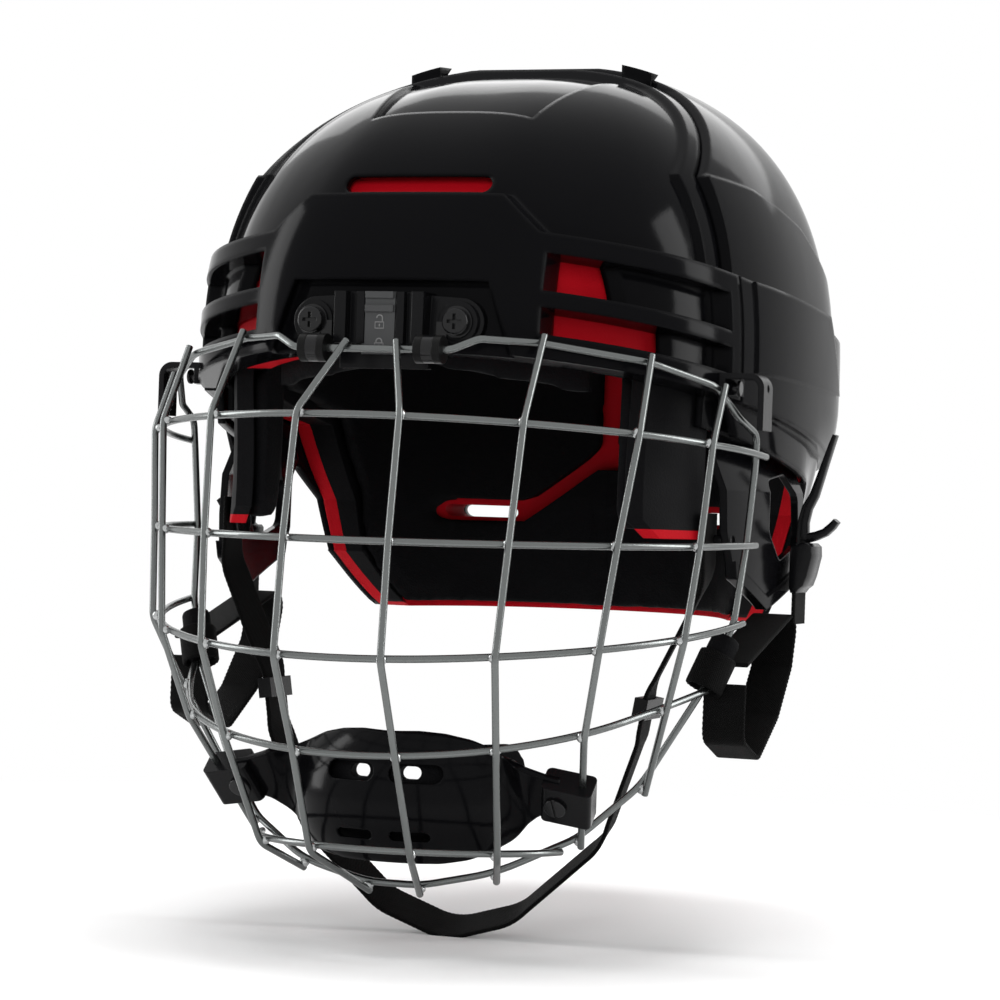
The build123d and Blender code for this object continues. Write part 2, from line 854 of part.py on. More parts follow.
def brow_bracket():
    front = bracket_seat_offset + bracket_wall
    behind = dome(bracket_seat_offset)
    core_x = bracket_core_half_width
    core = side_box(0, core_x, front_far, panel_front_y, bracket_foot_level, bracket_top_level)
    web = front_prism(
        [
            (0, bracket_top_level),
            (screw_x, screw_level + bracket_ear_radius),
            (screw_x, screw_level - bracket_ear_radius),
            (0, guide_foot_level),
        ],
        front_far,
        panel_front_y,
    )
    body = layer(front, bracket_seat_offset) & (core + web + screw_rod(bracket_ear_radius))
    levels = (guide_foot_level, bracket_top_level)
    floor = side_box(0, core_x, channel_floor_y, panel_front_y, *levels)
    rail = side_box(core_x - rail_width, core_x, rail_front_y, panel_front_y, *levels)
    lip_x = latch_half_width + latch_flange + layer_gap
    groove_y = channel_floor_y - latch_flange_wall - layer_gap
    guide_x = latch_half_width + layer_gap
    guide = side_box(guide_x, lip_x + guide_wall, latch_front_y, channel_floor_y, *levels)
    guide = guide - side_box(0, lip_x, groove_y, channel_floor_y, *levels)
    boss = screw_rod(screw_pad_radius, screw_pad_y)
    body = body + (floor - behind) + (rail - behind) + guide + (boss - behind)
    return both(body - screw_rod(screw_radius + fit_gap))


def latch_slider():
    back = channel_floor_y - fit_gap
    flange_x = latch_half_width + latch_flange
    body = side_box(0, latch_half_width, latch_front_y, back, latch_level, bracket_top_level)
    flange = side_box(0, flange_x, back - latch_flange_wall, back, latch_level, bracket_top_level)
    rib_y = latch_front_y - latch_grip_height / 2
    for step in range(latch_grip_ribs):
        top = bracket_top_level - 2 * step * latch_grip_height
        rib = side_box(0, latch_half_width - layer_gap, rib_y, latch_front_y, top - latch_grip_height, top)
        body = body + rib
    return both(body + flange)


def bracket_screws():
    seat = Vector(screw_x, screw_pad_y - band_wall - 2 * fit_gap, screw_level)
    return pair(pan_screw(seat, Vector(0, -1, 0), screw_length))


def nut_flange_y():
    x = screw_x + nut_flange_radius
    level = screw_level + nut_flange_radius
    return touch(-shell_wall, (x, front_far, level), (0, 1, 0)).Y


def bracket_nuts():
    seat = Vector(screw_x, nut_flange_y(), screw_level)
    corner = (screw_x + nut_barrel_radius, front_far, screw_level + nut_barrel_radius)
    length = seat.Y - touch(bracket_seat_offset, corner, (0, 1, 0)).Y - layer_gap
    nut = stud(seat, Vector(0, 1, 0), nut_flange_radius, nut_flange_wall, nut_barrel_radius, length)
    return pair(nut - screw_rod(screw_radius + fit_gap))


def nut_pocket():
    return screw_rod(nut_flange_radius + layer_gap, end_y=nut_flange_y() + nut_pocket_depth)


# spools that the rim wire turns in, and the metal bands that hold them
def wire_spools():
    half = clip_width / 2
    body = hinge_rod(-half, half, clip_waist_radius)
    body = body + hinge_rod(-half, clip_flange_width - half, clip_flange_radius)
    body = body + hinge_rod(half - clip_flange_width, half, clip_flange_radius)
    return pair(body - hinge_rod(-clip_width, clip_width, wire_radius + running_gap))


def hinge_rod(low, high, radius):
    """Cylinder on the hinge line, between two distances from the spool's middle."""
    return rod((clip_x + low, hinge_y, hinge_level), (clip_x + high, hinge_y, hinge_level), radius)


def spool_bands():
    half = clip_width / 2 - clip_flange_width - fit_gap
    low_x = clip_x - half
    high_x = clip_x + half
    outer = clip_waist_radius + fit_gap + band_wall
    front = screw_pad_y - fit_gap - band_wall
    back = screw_pad_y - fit_gap
    lift = hinge_level + outer
    roof = block((low_x, hinge_y, lift - band_wall), (high_x, back, lift))
    rise_plate = block((low_x, front, lift - band_wall), (high_x, back, screw_level))
    disc = rod((screw_x, front, screw_level), (screw_x, back, screw_level), band_plate_radius)
    body = hinge_rod(-half, half, outer) + roof + rise_plate + disc
    body = body - hinge_rod(-clip_width, clip_width, clip_waist_radius + fit_gap)
    return pair(body - screw_rod(screw_radius + fit_gap))


# side hooks that the rim wire lies in
def side_hook():
    seat = layer(band_proud + hook_wall, band_proud) & side_prism(
        [
            (hook_front_y, hook_seat_foot),
            (hook_back_y, hook_seat_foot),
            (hook_back_y, hook_top_level),
            (hook_front_y, hook_top_level),
        ]
    )
    near = touch(band_proud, (far_x, hook_front_y, hook_top_level), (-1, 0, 0)).X
    points = [
        Vector(near - hook_wall, 0, hook_top_level - hook_wall / 2),
        Vector(hook_reach_x - hook_wall / 2, 0, hook_top_level - hook_wall / 2),
        Vector(hook_reach_x - hook_wall / 2, 0, hook_foot_level),
    ]
    middle = Vector(0, (hook_front_y + hook_back_y) / 2, 0)
    path = bent([point + middle for point in points], hook_bend_radius)
    strip = ribbon(path, (0, 1, 0), hook_back_y - hook_front_y, hook_wall)
    body = seat + (strip - dome(band_proud))
    return body - side_rod(hook_screw_y, hook_screw_level, hook_screw_radius + fit_gap)


def hook_screws():
    edge = (far_x, hook_screw_y + hook_screw_head_radius, hook_screw_level)
    seat_x = touch(band_proud + hook_wall, edge, (-1, 0, 0)).X + hook_screw_seat_gap
    seat = Vector(seat_x, hook_screw_y, hook_screw_level)
    size = (hook_screw_head_radius, hook_screw_head_height, hook_screw_radius, hook_screw_length)
    return pair(stud(seat, Vector(1, 0, 0), *size))


# wires and ribbons along bent paths
def bent(points, radii):
    """Path through the points with every inner corner rounded, by one radius or by one for each."""
    if not isinstance(radii, list):
        radii = [radii] * (len(points) - 2)
    edges = []
    here = points[0]
    for before, corner, after, radius in zip(points, points[1:], points[2:], radii):
        back = (before - corner).normalized()
        onward = (after - corner).normalized()
        half = math.acos(max(-1, min(1, back.dot(onward)))) / 2
        start = corner + back * (radius / math.tan(half))
        end = corner + onward * (radius / math.tan(half))
        inward = (back + onward).normalized()
        middle = corner + inward * (radius / math.sin(half) - radius)
        edges.append(Line(here, start))
        edges.append(ThreePointArc(start, middle, end))
        here = end
    edges.append(Line(here, points[-1]))
    return Wire(edges)


def tube(path, radius):
    start = Plane(origin=path.position_at(0), z_dir=path.tangent_at(0))
    return sweep(start * Circle(radius), path=path)


def ribbon(path, across, width, wall):
    start = Plane(origin=path.position_at(0), x_dir=across, z_dir=path.tangent_at(0))
    return sweep(start * Rectangle(width, wall), path=path)


# cage
cross_gap = 2 * wire_radius + weld_gap


class Row:
    """Plan curve of one cage row: a round nose, wider arcs at the sides, in a tilted plane."""

    def __init__(self, index):
        self.front_y = row_front_y[index]
        self.front_level = row_front_level[index]
        self.slope = row_slope[index]
        self.nose = row_nose_radius[index]
        self.turn = math.radians(row_nose_angle[index])
        self.side = row_side_radius[index]
        self.end_y = row_end_y[index]

    def plan(self, angle):
        """Distance sideways and back from the nose, where the curve has turned by the angle."""
        radius = self.nose
        shift = 0
        if angle > self.turn:
            radius = self.side
            shift = self.nose - self.side
        across = shift * math.sin(self.turn) + radius * math.sin(angle)
        along = self.nose - shift * math.cos(self.turn) - radius * math.cos(angle)
        return across, along

    def angle_where(self, passed):
        low, high = 0.0, math.pi / 2
        for _ in range(search_steps):
            middle = (low + high) / 2
            if passed(*self.plan(middle)):
                high = middle
            else:
                low = middle
        return low

    def point(self, angle, side=1):
        across, along = self.plan(angle)
        return Vector(side * across, self.front_y + along, self.front_level + along * self.slope)

    def crossing(self, x):
        """Point on the row at this X, and the wire's direction there."""
        angle = self.angle_where(lambda across, along: across > x)
        across = math.cos(angle)
        along = math.sin(angle)
        return self.point(angle), Vector(across, along, along * self.slope)

    def solid(self):
        end = self.angle_where(lambda across, along: self.front_y + along > self.end_y)
        marks = [0.0, min(self.turn, end)]
        if end > self.turn:
            marks.append(end)
        edges = []
        for side in (-1, 1):
            for low, high in zip(marks, marks[1:]):
                middle = (low + high) / 2
                edges.append(ThreePointArc(*[self.point(angle, side) for angle in (low, middle, high)]))
        path = Wire(edges)
        return tube(path, wire_radius)


search_steps = 40
rows = [Row(index) for index in range(len(row_names))]


def rim_path():
    right = [Vector(*point) for point in rim_points]
    left = [Vector(-point.X, point.Y, point.Z) for point in reversed(right)]
    middle = Vector(0, hinge_y, hinge_level)
    radii = list(rim_bend_radii)
    return bent([middle] + right + left + [middle], radii + list(reversed(radii)))


def cage_rim():
    return tube(rim_path(), wire_radius)


def corner_relief(before, corner, after):
    """How far a rounded corner falls inside the sharp one."""
    onward = (corner - before).normalized().dot((after - corner).normalized())
    return upright_bend_radius * (1 / math.cos(math.acos(max(-1, min(1, onward))) / 2) - 1)


def rim_crossing(index_or_x):
    """Point on the rim, and its direction: at a corner's number, or at an X on the upper stretch."""
    points = [Vector(*point) for point in rim_points]
    if isinstance(index_or_x, int):
        around = points[index_or_x - 1], points[(index_or_x + 1) % len(points)]
        if index_or_x == len(points) - 1:
            return points[index_or_x], Vector(-1, 0, 0)
        return points[index_or_x], around[1] - around[0]
    for start, end in zip(points, points[1:]):
        if start.X <= index_or_x <= end.X:
            share = (index_or_x - start.X) / (end.X - start.X)
            return start + (end - start) * share, end - start


def upright_points(letter):
    """Path in front of every row that it crosses, clear of each wire by the weld gap."""
    xs = upright_x[letter]
    seats = [(Vector(xs[0], hinge_y, hinge_level), Vector(1, 0, 0))]
    if xs[0] > hinge_half_run:
        seats = [rim_crossing(xs[0])]
    seats = seats + [row.crossing(x) for row, x in zip(rows, xs[1:])]
    seats.append(rim_crossing(upright_foot[letter]))
    centres = [centre for centre, _ in seats]
    reach = [cross_gap] * len(centres)
    for index in range(1, len(centres) - 1):
        reach[index] += corner_relief(*centres[index - 1 : index + 2])
    points = []
    for index, (centre, wire) in enumerate(seats):
        chord = centres[min(index + 1, len(centres) - 1)] - centres[max(index - 1, 0)]
        out = wire.cross(chord).normalized()
        if out.dot(centre - Vector(*cage_middle)) < 0:
            out = out * -1
        points.append(centre + out * reach[index])
    points[0] = points[0] + (points[0] - points[1]).normalized() * upright_top_overrun
    points[-1] = points[-1] + (points[-1] - points[-2]).normalized() * upright_overrun
    return points


def cage_upright(letter):
    return tube(bent(upright_points(letter), upright_bend_radius), wire_radius)


# chin cup, its pad and clamps
def egg(inset):
    body = scale(Sphere(1), by=(cup_half_width - inset, cup_depth - inset, cup_half_height - inset))
    return body.moved(Location((0, cup_y, cup_level)))


def clamp_plane():
    """Origin on the upright inside the clamp, Z along the wire, X inward."""
    below, above = upright_points("b")[-1], upright_points("b")[-2]
    centre = below + (above - below) * ((clamp_level - below.Z) / (above.Z - below.Z))
    along = (above - below).normalized()
    inward = Vector(-1, 0, 0)
    inward = (inward - along * inward.dot(along)).normalized()
    return Plane(origin=centre, x_dir=inward, z_dir=along)


def clamp_bore(plane, reach, radius):
    turned = Location((reach, 0, 0), (90, 0, 0))
    return plane * turned * Cylinder(radius, overrun)


def cup_arm(plane):
    outline = [
        (arm_end, -arm_end_half_height),
        (clamp_inside, -arm_end_half_height),
        (arm_root, -arm_root_half_height),
        (arm_root, arm_root_half_height),
        (clamp_inside, arm_end_half_height),
        (arm_end, arm_end_half_height),
    ]
    points = [plane.from_local_coords((x, -arm_wall / 2, z)) for x, z in outline]
    return prism(points, tuple(plane.y_dir * arm_wall))


def chin_cup():
    plane = clamp_plane()
    body = egg(0) + cup_arm(plane)
    body = body - egg(cup_wall)
    body = body & block((0, front_far, cup_foot_level), (far_x, cup_y, cup_top_level))
    for level, height in ((cup_vent_level, cup_vent_height), (cup_slot_level, cup_slot_height)):
        slot = SlotOverall(cup_vent_outer_x - cup_vent_inner_x, height)
        centre = (cup_vent_inner_x + cup_vent_outer_x) / 2
        body = body - extrude(Plane.XZ.offset(-cup_y) * Pos(centre, level) * slot, 2 * cup_depth)
    return both(body - clamp_bore(plane, clamp_screw_reach, clamp_screw_radius + fit_gap))


def chin_pad():
    gap = cup_wall + layer_gap
    body = egg(gap) - egg(gap + cup_pad_wall)
    low = (0, front_far, cup_foot_level + cup_pad_margin)
    return both(body & block(low, (far_x, cup_y - cup_pad_margin, cup_top_level - cup_pad_margin)))


def chin_clamp():
    plane = clamp_plane()
    body = Box(clamp_outside + clamp_inside, 2 * clamp_half_depth, 2 * clamp_half_height)
    body = body.fillet(clamp_corner_radius, body.edges().filter_by(Axis.Z))
    body = plane * Location(((clamp_inside - clamp_outside) / 2, 0, 0)) * body
    start = arm_end - layer_gap
    slot = Box(overrun, arm_wall + 2 * fit_gap, 2 * (arm_end_half_height + layer_gap))
    body = body - (plane * Location((start + overrun / 2, 0, 0)) * slot)
    body = body - (plane * Cylinder(wire_radius + fit_gap, overrun))
    return body - clamp_bore(plane, clamp_screw_reach, clamp_screw_radius + fit_gap)


def clamp_screws():
    plane = clamp_plane()
    out = plane.y_dir if plane.y_dir.Y < 0 else plane.y_dir * -1
    seat = plane.from_local_coords((clamp_screw_reach, 0, 0)) + out * (clamp_half_depth + fit_gap)
    body = stud(seat, out, clamp_head_radius, clamp_head_height, clamp_screw_radius, clamp_screw_length)
    size = (2 * clamp_head_radius, screw_slot_width, screw_slot_depth)
    for cut in cross_cut(seat, out, clamp_head_height, *size, (0,)):
        body = body - cut
    return pair(body)


# sleeves, harness straps and the chin strap
sleeve_wire = (9, 10)


def cage_sleeve():
    start, end = [Vector(*rim_points[index]) for index in sleeve_wire]
    low = start + (end - start) * sleeve_shares[0]
    high = start + (end - start) * sleeve_shares[1]
    return rod(tuple(low), tuple(high), sleeve_radius) - rod(tuple(start), tuple(end), wire_radius + fit_gap)


def harness_strap():
    """Webbing loop sewn round the sleeve, with a riser that carries the hook."""
    path = bent([Vector(harness_x, y, z) for y, z in harness_route], harness_bend_radius)
    start, end = [Vector(*rim_points[index]) for index in sleeve_wire]
    centre = start + (end - start) * harness_ring_share
    along = (end - start).normalized() * (harness_ring_height / 2)
    ring = rod(tuple(centre - along), tuple(centre + along), sleeve_radius + fit_gap + strap_wall)
    riser = block(
        (harness_riser_x - strap_wall / 2, harness_riser_y - harness_width / 2, harness_riser_foot),
        (harness_riser_x + strap_wall / 2, harness_riser_y + harness_width / 2, harness_riser_top),
    )
    body = ribbon(path, (1, 0, 0), harness_width, strap_wall) + ring + riser
    return body - rod(tuple(start - along), tuple(end + along), sleeve_radius + fit_gap)


def harness_hook():
    """Plastic hook on the riser, with a long prong and a short one."""
    low_y = harness_riser_y - hook_width / 2
    body = block(
        (hook_body_low_x, low_y, hook_body_foot), (hook_body_high_x, low_y + hook_width, hook_body_top)
    )
    for route in (long_prong, short_prong):
        path = bent([Vector(x, harness_riser_y, z) for x, z in route], prong_bend_radius)
        body = body + ribbon(path, (0, 1, 0), prong_width, prong_wall)
    half = harness_width / 2 + fit_gap
    return body - block(
        (harness_riser_x - strap_wall / 2 - fit_gap, harness_riser_y - half, hook_body_foot - overrun),
        (harness_riser_x + strap_wall / 2 + fit_gap, harness_riser_y + half, harness_riser_top + fit_gap),
    )


def strap_x():
    """Where the chin strap lies flat against the inside of the ear guard."""
    edge = (far_x, chin_strap_y - chin_strap_width / 2, anchor_level)
    inner = touch_solid(flared(-ear_wall), edge)
    return inner.X - layer_gap - strap_wall / 2


def touch_solid(solid, start):
    start = Vector(*start)
    hits = solid.find_intersection_points(Axis(start, (-1, 0, 0)))
    return min((point for point, _ in hits), key=lambda point: (point - start).length)


def chin_strap():
    x = strap_x()
    ends = [(x, chin_strap_top_level), (x, anchor_level - anchor_head_radius - chin_strap_width / 2)]
    route = ends + list(chin_strap_route) + [(-x, level) for x, level in reversed(ends)]
    points = [Vector(x, chin_strap_y, z) for x, z in route]
    body = ribbon(bent(points, chin_strap_bend_radius), (0, 1, 0), chin_strap_width, strap_wall)
    hole = side_rod(anchor_y, anchor_level, anchor_radius + fit_gap)
    return body - hole - mirrored(hole)


def strap_keepers():
    """Plastic loops that the chin strap runs through, one on each side."""
    keepers = []
    route = [Vector(x, chin_strap_y, z) for x, z in chin_strap_route]
    for start, end in ((route[1], route[2]), (route[8], route[9])):
        centre = start + (end - start) * ((keeper_level - start.Z) / (end.Z - start.Z))
        plane = Plane(origin=centre, x_dir=(0, 1, 0), z_dir=end - start)
        width = chin_strap_width + 2 * fit_gap
        wall = strap_wall + 2 * fit_gap
        loop = Box(width + 2 * keeper_wall, wall + 2 * keeper_wall, keeper_height)
        keepers.append(plane * (loop - Box(width, wall, 2 * keeper_height)))
    return keepers


def strap_anchors():
    inner = Vector(strap_x() - strap_wall / 2 - fit_gap, anchor_y, anchor_level)
    outer = touch_solid(flared(0), (far_x, anchor_y, anchor_level))
    length = outer.X - inner.X - layer_gap
    rivet = stud(inner, Vector(-1, 0, 0), anchor_head_radius, anchor_head_height, anchor_radius, length)
    return pair(rivet)


def write(name, shape):
    shapes = shape if isinstance(shape, list) else [shape]
    solids = [solid for item in shapes for solid in item.solids()]
    export_step(Compound(children=solids) if len(solids) > 1 else solids[0], f"parts/{name}.step")


def write_sides(name, left):
    write(f"{name}_left", left)
    write(f"{name}_right", mirrored(left))


def main():
    os.makedirs("parts", exist_ok=True)
    write("front_shell", front_shell())
    write("rear_shell", rear_shell())
    write("front_liner", front_liner())
    write("rear_liner", rear_liner())
    write("forehead_pad", forehead_pad())
    write("crown_pad", crown_pad())
    write_sides("temple_pad", temple_pad())
    write_sides("rear_pad", rear_pad())
    write_sides("ear_guard", ear_guard())
    write_sides("side_hook", side_hook())
    write("ear_rivets", ear_rivets())
    write("hook_screws", hook_screws())
    write("brow_bracket", brow_bracket())
    write("latch_slider", latch_slider())
    write("bracket_screws", bracket_screws())
    write("bracket_nuts", bracket_nuts())
    write("wire_spools", wire_spools())
    write("spool_bands", spool_bands())
    write("crown_screws", crown_screws())
    write("crown_nuts", crown_nuts())
    write("cage_rim", cage_rim())
    for letter in upright_letters:
        write_sides(f"cage_upright_{letter}", cage_upright(letter))
    for name, row in zip(row_names, rows):
        write(f"cage_row_{name}", row.solid())
    write("chin_cup", chin_cup())
    write("chin_pad", chin_pad())
    write_sides("chin_clamp", chin_clamp())
    write("clamp_screws", clamp_screws())
    write_sides("cage_sleeve", cage_sleeve())
    write_sides("harness_strap", harness_strap())
    write_sides("harness_hook", harness_hook())
    write("chin_strap", chin_strap())
    write("strap_keepers", strap_keepers())
    write("strap_anchors", strap_anchors())


main()
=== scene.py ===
# Ice hockey helmet with a wire face cage: finishes, soft pieces, light and camera.
# Metres. X points to the wearer's left, Y to the back of the head, Z up.
import math

import bmesh
import bpy
from mathutils import Matrix, Vector
from mathutils.bvhtree import BVHTree
from mathutils.interpolate import poly_3d_calc


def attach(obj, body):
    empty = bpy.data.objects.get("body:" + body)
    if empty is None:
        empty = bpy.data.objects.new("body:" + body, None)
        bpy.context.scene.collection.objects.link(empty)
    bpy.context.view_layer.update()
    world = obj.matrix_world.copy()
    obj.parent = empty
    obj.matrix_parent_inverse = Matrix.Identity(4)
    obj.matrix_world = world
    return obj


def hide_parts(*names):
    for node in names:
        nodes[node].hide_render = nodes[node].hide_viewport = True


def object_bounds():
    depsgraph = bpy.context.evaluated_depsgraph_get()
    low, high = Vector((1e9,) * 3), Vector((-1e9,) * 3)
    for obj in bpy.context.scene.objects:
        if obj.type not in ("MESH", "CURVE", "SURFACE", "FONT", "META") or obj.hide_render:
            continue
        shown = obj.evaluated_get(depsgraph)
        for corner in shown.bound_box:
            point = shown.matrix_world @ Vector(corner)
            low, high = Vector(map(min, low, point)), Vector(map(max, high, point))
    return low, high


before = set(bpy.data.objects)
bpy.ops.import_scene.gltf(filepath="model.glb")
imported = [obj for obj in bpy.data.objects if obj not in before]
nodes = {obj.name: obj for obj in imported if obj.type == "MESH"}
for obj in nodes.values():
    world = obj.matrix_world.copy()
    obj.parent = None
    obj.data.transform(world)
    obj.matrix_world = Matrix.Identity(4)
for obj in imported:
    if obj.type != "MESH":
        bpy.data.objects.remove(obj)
cad_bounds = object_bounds()
mm = 0.001
weld_distance = 1e-6
sides = ("left", "right")


# node helpers for materials
def socket_of(node, name, given=None):
    """Input or output by name; a mix node has one of each name for every data type."""
    sockets = node.inputs if given is None else given
    for socket in sockets:
        if socket.name == name and socket.enabled:
            return socket
    raise KeyError(name)


def set_input(tree, node, name, value):
    socket = socket_of(node, name)
    if isinstance(value, bpy.types.NodeSocket):
        tree.links.new(value, socket)
    else:
        socket.default_value = value


def add_node(tree, kind, settings=None, **inputs):
    node = tree.nodes.new(kind)
    for name, value in (settings or {}).items():
        setattr(node, name, value)
    for name, value in inputs.items():
        set_input(tree, node, name.replace("_", " "), value)
    return node


def worked(tree, operation, *values):
    """Result of a math node; each value is a number or a socket."""
    node = add_node(tree, "ShaderNodeMath", {"operation": operation})
    for socket, value in zip(node.inputs, values):
        if isinstance(value, bpy.types.NodeSocket):
            tree.links.new(value, socket)
        else:
            socket.default_value = value
    return node.outputs[0]


def new_group(name, inputs, outputs):
    """Empty node group: inputs are (name, type, default), outputs are (name, type)."""
    tree = bpy.data.node_groups.new(name, "ShaderNodeTree")
    for label, kind, default in inputs:
        socket = tree.interface.new_socket(label, in_out="INPUT", socket_type=kind)
        if default is not None:
            socket.default_value = default
    for label, kind in outputs:
        tree.interface.new_socket(label, in_out="OUTPUT", socket_type=kind)
    return tree, tree.nodes.new("NodeGroupInput"), tree.nodes.new("NodeGroupOutput")


# shared effects
grain_height = 0.4 * mm
cloud_scale = 90.0
thread_height = 0.25 * mm
# weave colour follows its height: painted shade in the dips between threads, painted highlight on the crests
weave_painted_shade_and_highlight = (0.7, 1.3)
# the black painted shade on the red foam has a slightly wandering edge
shade_edge_wander = 0.4 * mm
shade_edge_wander_scale = 60.0


def grain_group():
    """Pebbled skin: a fine bump, and a small change of roughness over the piece."""
    tree, given, out = new_group(
        "Moulded grain",
        [
            ("Grain Size", "NodeSocketFloat", 0.6),
            ("Depth", "NodeSocketFloat", 0.1),
            ("Roughness", "NodeSocketFloat", 0.5),
            ("Spread", "NodeSocketFloat", 0.1),
            ("Edge", "NodeSocketFloat", 0.5),
        ],
        [("Normal", "NodeSocketVector"), ("Roughness", "NodeSocketFloat")],
    )
    wanted = given.outputs
    place = add_node(tree, "ShaderNodeTexCoord").outputs["Object"]
    scale = worked(tree, "DIVIDE", 1 / mm, wanted["Grain Size"])
    cells = add_node(tree, "ShaderNodeTexVoronoi", {"feature": "F1"}, Vector=place, Scale=scale)
    cloud = add_node(tree, "ShaderNodeTexNoise", None, Vector=place, Scale=cloud_scale, Detail=4.0)
    edge = add_node(tree, "ShaderNodeBevel", {"samples": 4}, Radius=worked(tree, "MULTIPLY", wanted["Edge"], mm))
    bump = add_node(tree, "ShaderNodeBump", None, Distance=grain_height, Height=cells.outputs["Distance"],
                    Strength=wanted["Depth"], Normal=edge.outputs["Normal"])
    centred = worked(tree, "SUBTRACT", cloud.outputs["Fac"], 0.5)
    swing = worked(tree, "MULTIPLY_ADD", centred, wanted["Spread"], wanted["Roughness"])
    tree.links.new(bump.outputs["Normal"], out.inputs["Normal"])
    tree.links.new(swing, out.inputs["Roughness"])
    return tree


def weave_group():
    """Woven threads, from the piece's own UV map in metres along and across; the colour is darkened in the dips
    and lightened on the crests, as painted shade and highlight.
    """
    tree, given, out = new_group(
        "Webbing weave",
        [("Colour", "NodeSocketColor", None), ("Thread Pitch", "NodeSocketFloat", 0.9)],
        [("Colour", "NodeSocketColor"), ("Normal", "NodeSocketVector")],
    )
    place = add_node(tree, "ShaderNodeUVMap", {"uv_map": "Strap"})
    split = add_node(tree, "ShaderNodeSeparateXYZ", None, Vector=place.outputs["UV"])
    length = worked(tree, "MULTIPLY", given.outputs["Thread Pitch"], mm / math.tau)
    along, across = [worked(tree, "SINE", worked(tree, "DIVIDE", split.outputs[axis], length)) for axis in "XY"]
    both = worked(tree, "MULTIPLY", along, across)
    bump = add_node(tree, "ShaderNodeBump", None, Distance=thread_height, Strength=0.7, Height=both)
    painted_dip_shade, painted_crest_highlight = weave_painted_shade_and_highlight
    # painted shade in the weave's dips and painted highlight on its crests
    shade = add_node(tree, "ShaderNodeMapRange", None, Value=both, From_Min=-1, To_Min=painted_dip_shade, To_Max=painted_crest_highlight)
    tint = add_node(tree, "ShaderNodeVectorMath", {"operation": "SCALE"}, Scale=shade.outputs["Result"])
    tree.links.new(given.outputs["Colour"], tint.inputs[0])
    tree.links.new(bump.outputs["Normal"], out.inputs["Normal"])
    tree.links.new(tint.outputs["Vector"], out.inputs["Colour"])
    return tree


grain = grain_group()
weave = weave_group()


def new_material(name):
    material = bpy.data.materials.new(name)
    material.use_nodes = True
    tree = material.node_tree
    return material, tree, tree.nodes["Principled BSDF"]


def grained(name, colour, roughness, size, depth, spread=0.1, edge=0.6, metallic=0.0, shine=0.5):
    material, tree, shader = new_material(name)
    skin = tree.nodes.new("ShaderNodeGroup")
    skin.node_tree = grain
    values = {"Grain Size": size, "Depth": depth, "Roughness": roughness, "Spread": spread, "Edge": edge}
    for label, value in values.items():
        skin.inputs[label].default_value = value
    shader.inputs["Base Color"].default_value = (*colour, 1)
    shader.inputs["Metallic"].default_value = metallic
    shader.inputs["Specular IOR Level"].default_value = shine
    tree.links.new(skin.outputs["Normal"], shader.inputs["Normal"])
    tree.links.new(skin.outputs["Roughness"], shader.inputs["Roughness"])
    return material


def painted_shade_mask(tree, low, high):
    """1 between two heights, in metres, with a slightly wandering edge; it marks where black painted shade goes.
    """
    place = add_node(tree, "ShaderNodeTexCoord").outputs["Object"]
    wander = add_node(tree, "ShaderNodeTexNoise", None, Vector=place, Scale=shade_edge_wander_scale)
    split = add_node(tree, "ShaderNodeSeparateXYZ", None, Vector=place)
    level = worked(tree, "MULTIPLY_ADD", wander.outputs["Fac"], shade_edge_wander, split.outputs["Z"])
    above = worked(tree, "GREATER_THAN", level, low)
    below = worked(tree, "LESS_THAN", level, high)
    return worked(tree, "MULTIPLY", above, below)


def paint_shade_black(material, mask):
    """Red foam that is painted black, as painted shade, where the mask is 1."""
    tree = material.node_tree
    mix = add_node(tree, "ShaderNodeMix", {"data_type": "RGBA"}, A=(*foam_red, 1), B=(*painted_shade_black, 1))
    tree.links.new(mask, mix.inputs["Factor"])
    tree.links.new(socket_of(mix, "Result", mix.outputs), tree.nodes["Principled BSDF"].inputs["Base Color"])


def red_foam(name):
    """Red foam, before black painted shade is laid over a part of it."""
    return grained(name, foam_red, 0.6, 0.7, 0.18, 0.15, 0.8, shine=0.06)


def foam_shaded_between(name, low, high):
    """Red foam painted black between two heights, as painted shade."""
    material = red_foam(name)
    paint_shade_black(material, painted_shade_mask(material.node_tree, low, high))
    return material


def foam_shaded_deep(name, depth, back):
    """Red foam painted black on its front edge, as painted shade, where it is deeper than a depth below the shell
    and before a Y, in metres.
    """
    material = red_foam(name)
    tree = material.node_tree
    below_shell = add_node(tree, "ShaderNodeAttribute", {"attribute_name": "Foam Depth"})
    place = add_node(tree, "ShaderNodeTexCoord")
    split = add_node(tree, "ShaderNodeSeparateXYZ", None, Vector=place.outputs["Object"])
    deep = worked(tree, "GREATER_THAN", below_shell.outputs["Fac"], depth)
    ahead = worked(tree, "LESS_THAN", split.outputs["Y"], back)
    paint_shade_black(material, worked(tree, "MULTIPLY", deep, ahead))
    return material


def webbing(name, colour):
    material, tree, shader = new_material(name)
    cloth = tree.nodes.new("ShaderNodeGroup")
    cloth.node_tree = weave
    cloth.inputs["Colour"].default_value = (*colour, 1)
    shader.inputs["Roughness"].default_value = 0.62
    shader.inputs["Sheen Weight"].default_value = 0.006
    shader.inputs["Specular IOR Level"].default_value = 0.04
    tree.links.new(cloth.outputs["Colour"], shader.inputs["Base Color"])
    tree.links.new(cloth.outputs["Normal"], shader.inputs["Normal"])
    return material


